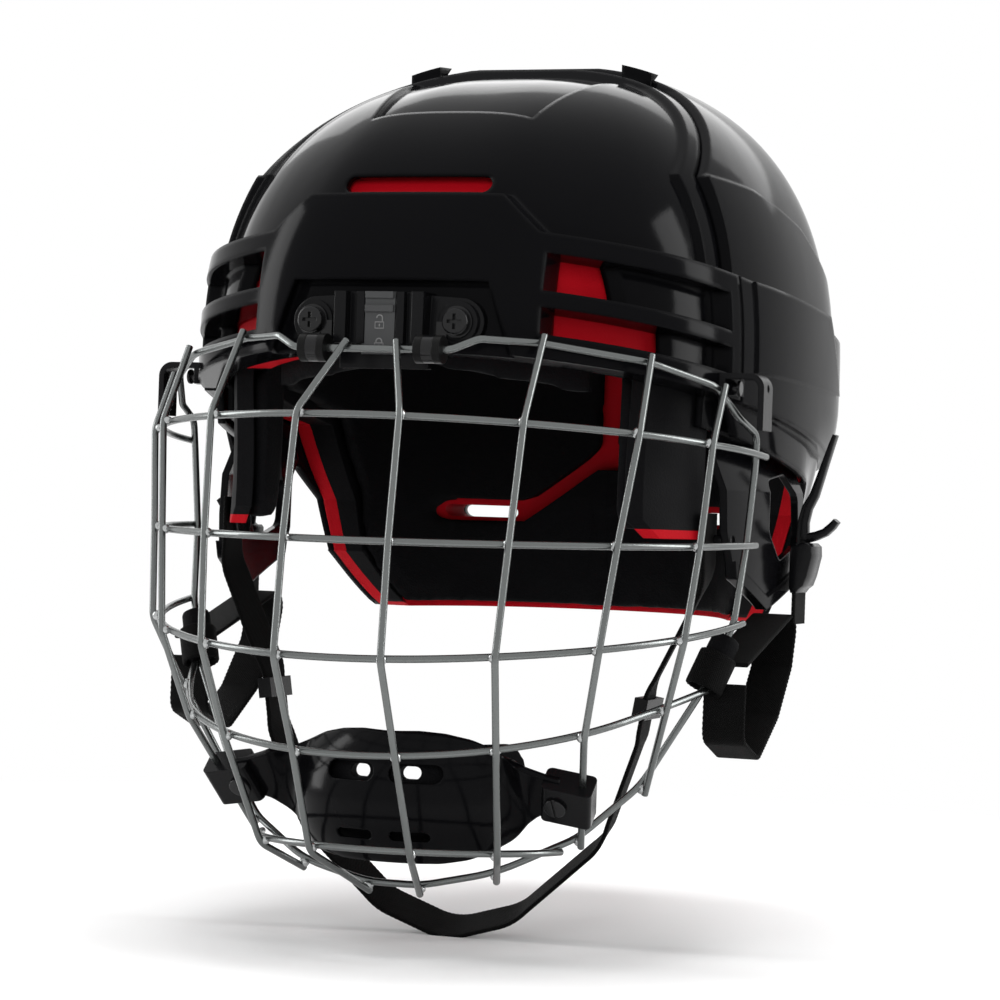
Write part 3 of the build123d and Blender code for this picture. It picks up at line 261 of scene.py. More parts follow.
# colour, roughness, grain size, grain depth, then how far the roughness swings and how wide edges catch light
gloss_black = grained("Gloss black shell", (0.0025, 0.0025, 0.003), 0.1, 1.2, 0.01, 0.05, 2.2, shine=0.035)
satin_black = grained("Satin black moulding", (0.003, 0.003, 0.0035), 0.24, 0.5, 0.05, 0.12, 0.5, shine=0.12)
guard_black = grained("Ear guard gloss black", (0.0025, 0.0025, 0.003), 0.14, 0.9, 0.02, 0.08, 0.8, shine=0.06)
latch_grey = grained("Grey latch plastic", (0.04, 0.041, 0.042), 0.38, 0.4, 0.06, 0.12, 0.4, shine=0.3)
foam_red = (0.42, 0.004, 0.010)
# black painted shade laid over the red liner foam where the helmet's inside lies in shadow
painted_shade_black = (0.003, 0.003, 0.0035)
# front liner: red foam painted black between two heights, as painted shade
red_foam_with_painted_shade = foam_shaded_between("Red foam with black painted shade between two heights", -139.8 * mm, -89.0 * mm)
# rear liner: red foam painted black deep below the shell, as painted shade
red_foam_with_deep_painted_shade = foam_shaded_deep("Red foam with black painted shade deep inside", 6.0 * mm, 60.0 * mm)
black_foam = grained("Black pad foam", (0.0035, 0.0035, 0.004), 0.7, 0.8, 0.35, 0.16, 0.8, shine=0.045)
rubber_black = grained("Black rubber", (0.003, 0.003, 0.003), 0.34, 0.5, 0.05, 0.1, 0.4, shine=0.12)
black_steel = grained("Black coated steel", (0.005, 0.005, 0.0055), 0.2, 0.3, 0.03, 0.1, 0.25, 0.2, shine=0.35)
wire_silver = grained("Silver coated wire", (0.15, 0.158, 0.156), 0.24, 0.5, 0.03, 0.12, 0.2, 0.95)
weld_silver = grained("Weld metal", (0.42, 0.43, 0.43), 0.22, 0.4, 0.08, 0.2, 0.1, 0.9)
mark_grey = grained("Worn raised marks", (0.16, 0.16, 0.16), 0.45, 0.3, 0.05, 0.2, 0.1)
strap_black = webbing("Black webbing", (0.003, 0.003, 0.003))

finish_of = {
    "front_shell": gloss_black,
    "rear_shell": gloss_black,
    "chin_cup": guard_black,
    "front_liner": red_foam_with_painted_shade,
    "rear_liner": red_foam_with_deep_painted_shade,
    "forehead_pad": black_foam,
    "crown_pad": black_foam,
    "chin_pad": black_foam,
    "brow_bracket": satin_black,
    "latch_slider": latch_grey,
    "wire_spools": rubber_black,
    "spool_bands": black_steel,
    "strap_keepers": satin_black,
    "cage_rim": wire_silver,
    "chin_strap": strap_black,
}
for fastener in ("bracket_screws", "bracket_nuts", "crown_screws", "crown_nuts", "hook_screws", "ear_rivets",
                 "clamp_screws", "strap_anchors"):
    finish_of[fastener] = black_steel
for side in sides:
    finish_of["temple_pad_" + side] = black_foam
    finish_of["rear_pad_" + side] = black_foam
    finish_of["cage_sleeve_" + side] = black_foam
    finish_of["ear_guard_" + side] = guard_black
    finish_of["side_hook_" + side] = satin_black
    finish_of["chin_clamp_" + side] = satin_black
    finish_of["harness_hook_" + side] = satin_black
    finish_of["harness_strap_" + side] = strap_black
for name, piece in nodes.items():
    if name.startswith(("cage_upright", "cage_row")):
        finish_of[name] = wire_silver
    piece.data.materials.clear()
    piece.data.materials.append(finish_of[name])


# making pieces
def placed(name, mesh):
    """Object for a mesh, in the scene."""
    piece = bpy.data.objects.new(name, mesh)
    bpy.context.scene.collection.objects.link(piece)
    return piece


def moulded(name, shape, finish=None):
    """Object from a bmesh, which is used up."""
    mesh = bpy.data.meshes.new(name)
    shape.to_mesh(mesh)
    shape.free()
    if finish:
        mesh.materials.append(finish)
    return placed(name, mesh)


def skin_rings(shape, rings, closed=False, smooth=False):
    """Faces from each ring to the next, and a cap at both ends unless the run closes on itself."""
    after = rings[1:] + rings[:1] if closed else rings[1:]
    for here, there in zip(rings, after):
        for index in range(len(here)):
            following = (index + 1) % len(here)
            face = shape.faces.new((here[index], here[following], there[following], there[index]))
            face.smooth = smooth
    if not closed:
        shape.faces.new(rings[0])
        shape.faces.new(rings[-1])


def stand_for(piece, node, body):
    """The piece rides a body in the place of a CAD node."""
    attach(piece, body)
    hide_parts(node)


def refinish(piece, finish):
    piece.data.materials.clear()
    piece.data.materials.append(finish)


def bare_copy(name, piece_name):
    """Closed copy of a CAD node's mesh under a name of its own."""
    mesh = nodes[name].data.copy()
    mesh.name = piece_name
    piece = placed(piece_name, mesh)
    shape = bmesh.new()
    shape.from_mesh(mesh)
    bmesh.ops.remove_doubles(shape, verts=shape.verts, dist=weld_distance)
    shape.to_mesh(mesh)
    shape.free()
    return piece


def settle(piece):
    """Applies every modifier, in order."""
    mesh = bpy.data.meshes.new_from_object(piece.evaluated_get(bpy.context.evaluated_depsgraph_get()))
    piece.modifiers.clear()
    old = piece.data
    piece.data = mesh
    mesh.name = piece.name
    bpy.data.meshes.remove(old)


def draw_in(mesh, depth):
    """Moves every point inwards along its normal."""
    places = [vertex.co - vertex.normal * depth for vertex in mesh.vertices]
    for vertex, place in zip(mesh.vertices, places):
        vertex.co = place


pad_pressure = 4
settling_frames = 20


def swell(piece, cap):
    """Cloth under pressure, with every point kept within the cap of where it started."""
    started = [vertex.co.copy() for vertex in piece.data.vertices]
    cloth = piece.modifiers.new("swell", "CLOTH")
    cloth.settings.use_pressure = True
    cloth.settings.uniform_pressure_force = pad_pressure
    cloth.settings.effector_weights.gravity = 0
    cloth.point_cache.frame_start = 1
    cloth.point_cache.frame_end = settling_frames
    for step in range(1, settling_frames + 1):
        bpy.context.scene.frame_set(step)
    settle(piece)
    bpy.context.scene.frame_set(1)
    for vertex, start in zip(piece.data.vertices, started):
        move = vertex.co - start
        if move.length > cap:
            vertex.co = start + move.normalized() * cap


# rear section: drawn in towards the nape, where the CAD solids go straight down
taper_top = -96.0
taper_foot = -174.0
taper_share = 0.22
taper_power = 1.5
taper_front_y = 10.0
taper_full_y = 45.0
corner_start = (38.0, -149.0)
corner_end = (62.0, -175.0)
taper_step = 4
probe_step = 0.02 * mm


def ease(value):
    """0 to 1 with a soft start and end."""
    held = min(1.0, max(0.0, value))
    return held * held * (3 - 2 * held)


def nape_place(point):
    """Where a point of the rear section goes, in metres."""
    x, y, z = point / mm
    (start_y, start_z), (end_y, end_z) = corner_start, corner_end
    if start_y < y < end_y:
        line = start_z + (end_z - start_z) * (y - start_y) / (end_y - start_y)
        z = max(z, line)
    if z < taper_top:
        share = min(1.0, (taper_top - z) / (taper_top - taper_foot)) ** taper_power
        x = x * (1 - taper_share * share * ease((y - taper_front_y) / (taper_full_y - taper_front_y)))
    return Vector((x, y, z)) * mm


def turned(normal, point):
    """The normal after nape_place, from where two short steps beside the point go."""
    side = normal.orthogonal().normalized()
    other = normal.cross(side)
    here = nape_place(point)
    along = nape_place(point + side * probe_step) - here
    across = nape_place(point + other * probe_step) - here
    new = along.cross(across)
    return new.normalized() if new.length > 1e-14 else normal


def kept_normals(mesh, source):
    """Corner normals of the sliced mesh, read from the CAD mesh that it was cut from, then turned."""
    corners = [tuple(polygon.loop_indices) for polygon in source.polygons]
    places = [vertex.co.copy() for vertex in source.vertices]
    tree = BVHTree.FromPolygons(places, [tuple(polygon.vertices) for polygon in source.polygons])
    normals = [Vector(normal.vector) for normal in source.corner_normals]
    made = []
    for polygon in mesh.polygons:
        found = tree.find_nearest(polygon.center)[2]
        triangle = [places[index] for index in source.polygons[found].vertices]
        for index in polygon.vertices:
            point = mesh.vertices[index].co
            shares = poly_3d_calc(triangle, point)
            normal = sum((normals[c] * s for c, s in zip(corners[found], shares)), Vector())
            made.append(turned(normal.normalized(), point) if point.z < taper_top * mm else normal.normalized())
    return made


def draw_to_nape(piece, source=None):
    """Cuts the mesh into thin slices below the band, and draws them in."""
    shape = bmesh.new()
    shape.from_mesh(piece.data)
    cuts = [((0, 0, level), (0, 0, 1)) for level in range(int(taper_foot) + 1, int(taper_top), taper_step)]
    cuts += [((0, y, 0), (0, 1, 0)) for y in range(int(corner_start[0]), int(corner_end[0]) + 1, taper_step)]
    for place, across in cuts:
        everything = shape.verts[:] + shape.edges[:] + shape.faces[:]
        bmesh.ops.bisect_plane(shape, geom=everything, dist=1e-7, plane_co=Vector(place) * mm, plane_no=across)
    bmesh.ops.triangulate(shape, faces=shape.faces)
    shape.to_mesh(piece.data)
    shape.free()
    normals = kept_normals(piece.data, source) if source else None
    for vertex in piece.data.vertices:
        vertex.co = nape_place(vertex.co)
    if normals:
        piece.data.shade_smooth()
        piece.data.normals_split_custom_set(normals)


soft_crease = 40


def shade(mesh, degrees):
    """Smooth shading, with edges kept sharp past an angle."""
    mesh.shade_smooth()
    mesh.set_sharp_from_angle(angle=math.radians(degrees))


def rear_shape(name, depth_from=None):
    """The rear shell or liner with its narrow nape; the liner also holds its depth below the shell."""
    piece = bare_copy(name, name + "_shaped")
    if depth_from:
        outer = bmesh.new()
        outer.from_mesh(nodes[depth_from].data)
        tree = BVHTree.FromBMesh(outer)
        outer.free()
        depth = piece.data.attributes.new("Foam Depth", "FLOAT", "POINT")
        for vertex in piece.data.vertices:
            depth.data[vertex.index].value = tree.find_nearest(vertex.co)[3]
    draw_to_nape(piece, nodes[name].data)
    refinish(piece, finish_of[name])
    stand_for(piece, name, "rear_section")


# soft pads: each is swelled from its own CAD solid
def soft_pad(name, body, voxel=3.0, inset=0.9, cap=0.9, prepare=None, trim=None, cutters=()):
    """Padded copy of a CAD pad; prepare and trim change its form before and after it swells. Sizes in mm."""
    piece = bare_copy(name, name + "_foam")
    if prepare:
        prepare(piece)
    remesh = piece.modifiers.new("even", "REMESH")
    remesh.mode = "VOXEL"
    remesh.voxel_size = voxel * mm
    settle(piece)
    smooth = piece.modifiers.new("round", "SMOOTH")
    smooth.factor = 0.5
    smooth.iterations = 2
    settle(piece)
    draw_in(piece.data, inset * mm)
    swell(piece, cap * mm)
    fine = piece.modifiers.new("fine", "SUBSURF")
    fine.levels = fine.render_levels = 1
    settle(piece)
    if trim:
        trim(piece)
    for cutter in cutters:
        cut_away(piece, cutter)
    shade(piece.data, soft_crease)
    refinish(piece, black_foam)
    stand_for(piece, name, body)


# channel between the upper rear pads and the nape pad, as (x, z) on one side
channel_outline = (
    (0.0, -101.0), (2.5, -105.0), (5.0, -110.5), (9.0, -114.5), (29.0, -130.0), (34.0, -131.8), (55.5, -131.8),
    (55.5, -140.0), (32.0, -140.0), (9.0, -122.5), (4.0, -118.8), (0.0, -118.8),
)
channel_low_y = 60.0
channel_high_y = 140.0
nape_pad_top = -117.0
nape_pad_drop = 1.8
nape_pad_reach = 4.6
nape_pad_edge = -150.0
nape_pad_blend = 20.0


def prism_along_y(outline, low_y, high_y, sign=1):
    """Closed prism of an outline given as (x, z)."""
    shape = bmesh.new()
    ends = [
        [shape.verts.new(Vector((sign * x, y, z)) * mm) for x, z in outline]
        for y in (low_y, high_y)
    ]
    skin_rings(shape, ends)
    bmesh.ops.triangulate(shape, faces=shape.faces)
    bmesh.ops.recalc_face_normals(shape, faces=shape.faces)
    return moulded("cutter", shape)


def cut_away(piece, cutter):
    """Takes the cutter's shape out of the piece, and uses up the cutter."""
    cut = piece.modifiers.new("cut", "BOOLEAN")
    cut.operation = "DIFFERENCE"
    cut.solver = "EXACT"
    cut.object = cutter
    settle(piece)
    mesh = cutter.data
    bpy.data.objects.remove(cutter)
    bpy.data.meshes.remove(mesh)


slot_steps = 8


def slot_outline(low_x, high_x, level, height):
    """Slot with round ends, as (x, z)."""
    radius = height / 2
    made = []
    for centre, start in ((high_x - radius, -90), (low_x + radius, 90)):
        for step in range(slot_steps + 1):
            turn = math.radians(start + 180 * step / slot_steps)
            made.append((centre + radius * math.cos(turn), level + radius * math.sin(turn)))
    return made


def rear_pad_form(piece):
    """The rear pad's form: narrow at the nape, and down to its edge."""
    draw_to_nape(piece)
    for vertex in piece.data.vertices:
        z = vertex.co.z / mm
        vertex.co.z -= nape_pad_drop * mm * ease((nape_pad_edge - z) / nape_pad_blend)


def close_middle(piece):
    """The two halves of the nape pad meet at the middle."""
    for vertex in piece.data.vertices:
        x, _, z = vertex.co / mm
        if z < nape_pad_top and abs(x) < nape_pad_reach:
            vertex.co.x = 0


temple_pad_inner_x = 63.0


def temple_pad_form(piece):
    """The temple pad ends well before the brow."""
    for vertex in piece.data.vertices:
        vertex.co.x = math.copysign(max(abs(vertex.co.x), temple_pad_inner_x * mm), vertex.co.x)


def soft_pads():
    for name in ("forehead_pad", "crown_pad"):
        soft_pad(name, "helmet")
    for side in sides:
        sign = 1 if side == "left" else -1
        channel = prism_along_y(channel_outline, channel_low_y, channel_high_y, sign)
        soft_pad("temple_pad_" + side, "helmet", prepare=temple_pad_form)
        soft_pad("rear_pad_" + side, "rear_section", voxel=2.5, inset=0.6, cap=0.6, prepare=rear_pad_form,
                 trim=close_middle, cutters=[channel])
    outline = slot_outline(*pad_vent_x, cup_vent_level, pad_vent_height)
    vents = [prism_along_y(outline, cup_front_y, cup_back_y, sign) for sign in (1, -1)]
    soft_pad("chin_pad", "cage", voxel=2.0, inset=0.6, cap=0.6, cutters=vents)


# chin cup: (x, top, foot) across one half; it tapers into the arms that the clamps hold
cup_edges = (
    (0.0, -209.0, -253.0), (10.0, -208.6, -253.0), (18.0, -209.2, -252.8), (26.0, -211.0, -251.4),
    (32.0, -213.6, -249.0), (38.0, -216.6, -244.6), (43.0, -218.8, -239.0), (48.0, -220.6, -235.6),
    (53.0, -222.2, -234.4), (58.0, -223.2, -234.0),
)
cup_centre_y = -80.0
cup_centre_level = -231.0
cup_half = (46.0, 42.0, 36.0)
cup_wall = 2.4
arm_face_y = -104.4
arm_face_level = -229.2
arm_lean = -0.849
arm_from_x = 31.0
arm_full_x = 45.0
cup_vent_x = (2.6, 20.4)
cup_vent_level = -222.6
cup_vent_height = 6.2
pad_vent_x = (5.0, 12.5)
pad_vent_height = 4.4
cup_slot_x = (3.0, 16.5)
cup_slot_level = -243.4
cup_slot_height = 3.2
cup_front_y = -130.0
cup_back_y = -70.0
cup_columns, cup_rows = 96, 28
cup_rim = 0.5
cup_rim_angle = 50
least_depth = 0.03


def cup_edge(x):
    """Top and foot of the cup at a distance from its middle."""
    for (low_x, low_top, low_foot), (high_x, top, foot) in zip(cup_edges, cup_edges[1:]):
        if x <= high_x:
            share = (x - low_x) / (high_x - low_x)
            return low_top + (top - low_top) * share, low_foot + (foot - low_foot) * share
    return cup_edges[-1][1:]


def cup_face(x, z):
    """Y of the outer face: an egg in the middle, the leaning flat arm at the ends."""
    across, depth, height = cup_half
    left = 1 - (x / across) ** 2 - ((z - cup_centre_level) / height) ** 2
    egg = cup_centre_y - depth * math.sqrt(max(left, least_depth))
    arm = arm_face_y + arm_lean * (z - arm_face_level)
    return egg + (arm - egg) * ease((abs(x) - arm_from_x) / (arm_full_x - arm_from_x))


def cup_sheet():
    """Outer face of the cup as a sheet without thickness."""
    end_x = cup_edges[-1][0]
    shape = bmesh.new()
    grid = []
    for column in range(cup_columns + 1):
        x = end_x * (2 * column / cup_columns - 1)
        top, foot = cup_edge(abs(x))
        levels = [top + (foot - top) * row / cup_rows for row in range(cup_rows + 1)]
        grid.append([shape.verts.new(Vector((x, cup_face(x, z), z)) * mm) for z in levels])
    for here, there in zip(grid, grid[1:]):
        for row in range(cup_rows):
            shape.faces.new((here[row], here[row + 1], there[row + 1], there[row]))
    bmesh.ops.smooth_vert(shape, verts=shape.verts, factor=0.5, use_axis_x=False, use_axis_y=True, use_axis_z=True)
    return shape


def moulded_cup():
    piece = moulded("moulded_cup", cup_sheet())
    wall = piece.modifiers.new("wall", "SOLIDIFY")
    wall.thickness = cup_wall * mm
    wall.offset = -1
    settle(piece)
    vent = slot_outline(*cup_vent_x, cup_vent_level, cup_vent_height)
    low_slot = slot_outline(*cup_slot_x, cup_slot_level, cup_slot_height)
    for outline in (vent, low_slot):
        for sign in (1, -1):
            cut_away(piece, prism_along_y(outline, cup_front_y, cup_back_y, sign))
    rim = piece.modifiers.new("rim", "BEVEL")
    rim.width = cup_rim * mm
    rim.segments = 2
    rim.angle_limit = math.radians(cup_rim_angle)
    settle(piece)
    shade(piece.data, soft_crease)
    refinish(piece, finish_of["chin_cup"])
    stand_for(piece, "chin_cup", "cage")


# straps and the foam sleeves
def in_metres(points):
    return [Vector(point) * mm for point in points]


def mirrored(points):
    return [Vector((-point.x, point.y, point.z)) for point in points]


arc_steps = 8


def rounded(points, radius):
    """The path with its inner corners turned into arcs."""
    made = [points[0]]
    for before, corner, after in zip(points, points[1:], points[2:]):
        back = (before - corner).normalized()
        onward = (after - corner).normalized()
        half = back.angle(onward) / 2
        centre = corner + (back + onward).normalized() * (radius / math.sin(half))
        start = (corner + back * (radius / math.tan(half)) - centre).normalized()
        end = (corner + onward * (radius / math.tan(half)) - centre).normalized()
        for step in range(arc_steps + 1):
            made.append(centre + start.slerp(end, step / arc_steps) * radius)
    made.append(points[-1])
    return made


def evenly(points, pitch):
    """Points at an even pitch along the path."""
    lengths = [0.0]
    for here, there in zip(points, points[1:]):
        lengths.append(lengths[-1] + (there - here).length)
    count = max(2, round(lengths[-1] / pitch))
    made = []
    index = 0
    for step in range(count + 1):
        place = lengths[-1] * step / count
        while index < len(points) - 2 and lengths[index + 1] < place:
            index += 1
        span = max(lengths[index + 1] - lengths[index], 1e-9)
        made.append(points[index].lerp(points[index + 1], min(1, (place - lengths[index]) / span)))
    return made


edge_steps = 6
flat_shares = (0.6, 0.2, -0.2, -0.6)
rib_from = 0.42


def webbing_outline(width, wall):
    """Section of the webbing: flat faces between two rounded edges."""
    half = width / 2 - wall / 2
    made = []
    for side in (1, -1):
        for step in range(edge_steps + 1):
            turn = math.radians(-90 + 180 * step / edge_steps)
            made.append((side * (half + wall / 2 * math.cos(turn)), side * wall / 2 * math.sin(turn)))
        for share in flat_shares:
            made.append((side * half * share, side * wall / 2))
    return made


def add_band(shape, points, across, width, wall, edge_rib=0.2, pitch=0.9, closed=False):
    """One run of webbing, with ribs along its edges and its UV map in metres."""
    uv_map = shape.loops.layers.uv.get("Strap") or shape.loops.layers.uv.new("Strap")
    path = evenly(points, pitch * mm)
    outline = webbing_outline(width * mm, wall * mm)
    across = Vector(across)
    rings = []
    last = len(path) - 1
    if closed:
        path = path[:-1]
    for index, place in enumerate(path):
        before = path[index - 1] if index or closed else path[0]
        after = path[(index + 1) % len(path)] if index < last or closed else path[last]
        along = (after - before).normalized()
        side = (across - along * across.dot(along)).normalized()
        out = along.cross(side)
        swing = (index % 2) * edge_rib * mm
        ring = []
        for u, v in outline:
            reach = u - math.copysign(swing, u) if abs(u) > width * mm * rib_from else u
            ring.append(shape.verts.new(place + side * reach + out * v))
        rings.append(ring)
    pairs = list(zip(rings, rings[1:]))
    if closed:
        pairs.append((rings[-1], rings[0]))
    for number, (here, there) in enumerate(pairs):
        for index, (u, _) in enumerate(outline):
            following = (index + 1) % len(outline)
            face = shape.faces.new((here[index], here[following], there[following], there[index]))
            face.smooth = True
            ends = (number, number, number + 1, number + 1)
            edges = (u, outline[following][0], outline[following][0], u)
            for loop, end, edge in zip(face.loops, ends, edges):
                loop[uv_map].uv = (end * pitch * mm, edge)
    if not closed:
        shape.faces.new(rings[0])
        shape.faces.new(rings[-1])


def finish_webbing(shape, name, body, node):
    bmesh.ops.recalc_face_normals(shape, faces=shape.faces)
    stand_for(moulded(name, shape, strap_black), node, body)


strap_wall = 1.5
strap_width = 15.0
chin_y = -50.0
chin_lean = (0, 0.9, 0.43)
chin_route = (
    (88.5, -134.0), (88.5, -156.5), (78.0, -178.0), (70.0, -194.0), (67.0, -212.0), (55.0, -247.0),
    (24.0, -275.0), (0.0, -282.0), (-25.0, -273.0), (-54.0, -247.0), (-68.0, -214.0), (-71.0, -194.0),
    (-79.0, -178.0), (-88.5, -156.5), (-88.5, -134.0),
)
sleeve_line = ((99.9, -56.0, -171.0), (92.2, -64.7, -193.5))
sleeve_shares = (0.2, 0.92)
loop_x = 98.7
loop_route = ((-58.0, -184.5), (6.0, -167.0), (-1.0, -187.0), (-17.0, -204.0), (-40.0, -217.0), (-60.0, -210.0),
              (-59.5, -191.0))
riser_x = 106.0
riser_y = 5.0
riser_foot, riser_top = -172.0, -147.0
chin_bend, loop_bend = 22.0, 5.0
wrap_share = 0.72
wrap_radius = 5.05
wrap_width = 13.0
wrap_steps = 48


def chin_webbing():
    shape = bmesh.new()
    points = in_metres([(x, chin_y, z) for x, z in chin_route])
    add_band(shape, rounded(points, chin_bend * mm), chin_lean, strap_width, strap_wall)
    finish_webbing(shape, "chin_webbing", "helmet", "chin_strap")


def ring_points(centre, along, radius):
    side = along.orthogonal().normalized()
    other = along.cross(side)
    turns = [math.tau * step / wrap_steps for step in range(wrap_steps + 1)]
    return [centre + (side * math.cos(turn) + other * math.sin(turn)) * radius for turn in turns]


def harness_webbing(side):
    """Loop that hangs from the sleeve, its wrap round the sleeve, and the riser to the hook."""
    sign = 1 if side == "left" else -1
    shape = bmesh.new()
    points = in_metres([(sign * loop_x, y, z) for y, z in loop_route])
    add_band(shape, rounded(points, loop_bend * mm), (1, 0, 0), strap_width, strap_wall)
    start, end = in_metres([(sign * x, y, z) for x, y, z in sleeve_line])
    along = (end - start).normalized()
    ring = ring_points(start.lerp(end, wrap_share), along, (wrap_radius + strap_wall / 2) * mm)
    add_band(shape, ring, along, wrap_width, strap_wall, closed=True)
    riser = in_metres([(sign * riser_x, riser_y, level) for level in (riser_foot, riser_top)])
    add_band(shape, riser, (0, 1, 0), strap_width, strap_wall)
    finish_webbing(shape, "harness_webbing_" + side, "cage", "harness_strap_" + side)


# harness hooks: (x, z, thickness) along each prong, and the body's outline as (x, z)
hook_y = 5.0
long_prong = (
    (107.5, -146.5, 4.4), (106.9, -141.0, 4.2), (107.0, -136.0, 3.8), (108.2, -131.0, 3.6), (110.6, -126.5, 3.2),
    (112.2, -121.5, 2.8), (114.4, -114.5, 2.3), (116.3, -108.5, 1.9), (117.5, -105.0, 1.5),
)
short_prong = (
    (106.9, -141.0, 3.8), (108.8, -141.6, 3.6), (112.0, -140.7, 3.2), (115.0, -139.4, 3.0), (117.4, -137.2, 2.8),
    (119.0, -135.2, 2.3),
)
hook_body = (
    (104.2, -145.2), (105.0, -144.2), (106.6, -144.2), (107.6, -143.4), (110.6, -143.4), (112.0, -144.6),
    (112.2, -148.0), (110.6, -155.0), (109.4, -158.4), (107.9, -159.6), (106.9, -161.0), (104.8, -161.0),
    (104.2, -159.0),
)
hook_width = 15.6
hook_rim = 0.7
prong_width = 5.2
prong_steps = 16


def add_prong(shape, sign, route):
    """Tapered bar with rounded edges along the route."""
    points = [Vector((sign * x, hook_y, z)) for x, z, _ in route]
    side = Vector((0, 1, 0))
    rings = []
    for index, (point, (_, _, thick)) in enumerate(zip(points, route)):
        before, after = points[max(0, index - 1)], points[min(len(points) - 1, index + 1)]
        out = (after - before).normalized().cross(side)
        ring = []
        for step in range(prong_steps):
            turn = math.tau * step / prong_steps
            across, up = math.cos(turn), math.sin(turn)
            reach = math.copysign(abs(across) ** 0.5, across) * prong_width / 2
            rise = math.copysign(abs(up) ** 0.5, up) * thick / 2
            ring.append(shape.verts.new((point + side * reach + out * rise) * mm))
        rings.append(ring)
    skin_rings(shape, rings)


def harness_hook(side):
    """Moulded hook on the riser, with a long prong and a short one."""
    sign = 1 if side == "left" else -1
    shape = bmesh.new()
    ends = [
        [shape.verts.new(Vector((sign * x, hook_y + reach, z)) * mm) for x, z in hook_body]
        for reach in (-hook_width / 2, hook_width / 2)
    ]
    skin_rings(shape, ends)
    bmesh.ops.recalc_face_normals(shape, faces=shape.faces)
    rims = [edge for edge in shape.edges if abs(edge.verts[0].co.y - edge.verts[1].co.y) < weld_distance]
    bmesh.ops.bevel(shape, geom=rims, offset=hook_rim * mm, segments=2, profile=0.5, affect="EDGES")
    for route in (long_prong, short_prong):
        add_prong(shape, sign, route)
    bmesh.ops.recalc_face_normals(shape, faces=shape.faces)
    piece = moulded("moulded_hook_" + side, shape, satin_black)
    shade(piece.data, soft_crease)
    stand_for(piece, "harness_hook_" + side, "cage")


sleeve_end = ((0.0, 1.3), (0.0, 3.6), (0.5, 4.5), (1.6, 4.95))
sleeve_radius = 5.0
sleeve_steps = 36
lump_share = 0.012
lump_from_radius = 3.0


def foam_sleeve(side):
    """Foam tube round the wire, with soft ends and a slightly lumpy skin."""
    sign = 1 if side == "left" else -1
    start, end = in_metres([(sign * x, y, z) for x, y, z in sleeve_line])
    low, high = [start.lerp(end, share) for share in sleeve_shares]
    along = (high - low).normalized()
    length = (high - low).length
    across = along.orthogonal().normalized()
    other = along.cross(across)
    middle = [(length / mm * step / 8, sleeve_radius) for step in range(1, 8)]
    far = [(length / mm - place, radius) for place, radius in reversed(sleeve_end)]
    shape = bmesh.new()
    rings = []
    for place, radius in [*sleeve_end, *middle, *far]:
        ring = []
        for step in range(sleeve_steps):
            turn = math.tau * step / sleeve_steps
            lump = 1 + lump_share * math.sin(5 * turn + 0.9 * place) if radius > lump_from_radius else 1
            spoke = across * math.cos(turn) + other * math.sin(turn)
            ring.append(shape.verts.new(low + along * place * mm + spoke * radius * lump * mm))
        rings.append(ring)
    skin_rings(shape, rings, closed=True, smooth=True)
    bmesh.ops.recalc_face_normals(shape, faces=shape.faces)
    piece = moulded("foam_sleeve_" + side, shape, black_foam)
    stand_for(piece, "cage_sleeve_" + side, "cage")


# weld spots where the cage's wires cross
weld_places = (
    (99.3, -90.0, -111.1), (97.1, -93.0, -145.0), (94.0, -97.8, -175.7), (86.2, -88.5, -199.3),
    (75.7, -75.1, -226.5), (83.3, -117.3, -109.0), (79.3, -124.1, -145.4), (75.7, -128.8, -179.0),
    (68.8, -120.0, -207.2), (58.5, -88.4, -244.1), (53.5, -143.6, -107.0), (52.0, -149.4, -145.8),
    (49.8, -153.0, -181.6), (46.6, -140.0, -212.0), (40.9, -120.2, -247.5), (34.3, -101.5, -256.1),
    (17.4, -157.8, -105.9), (17.8, -164.7, -145.9), (17.9, -168.1, -183.2), (17.4, -151.6, -214.9),
    (17.3, -135.1, -247.1), (9.3, -104.9, -261.7),
)


bead_radius = 1.75
bead_seed = 7
bead_sizes = (0.88, 1.12)


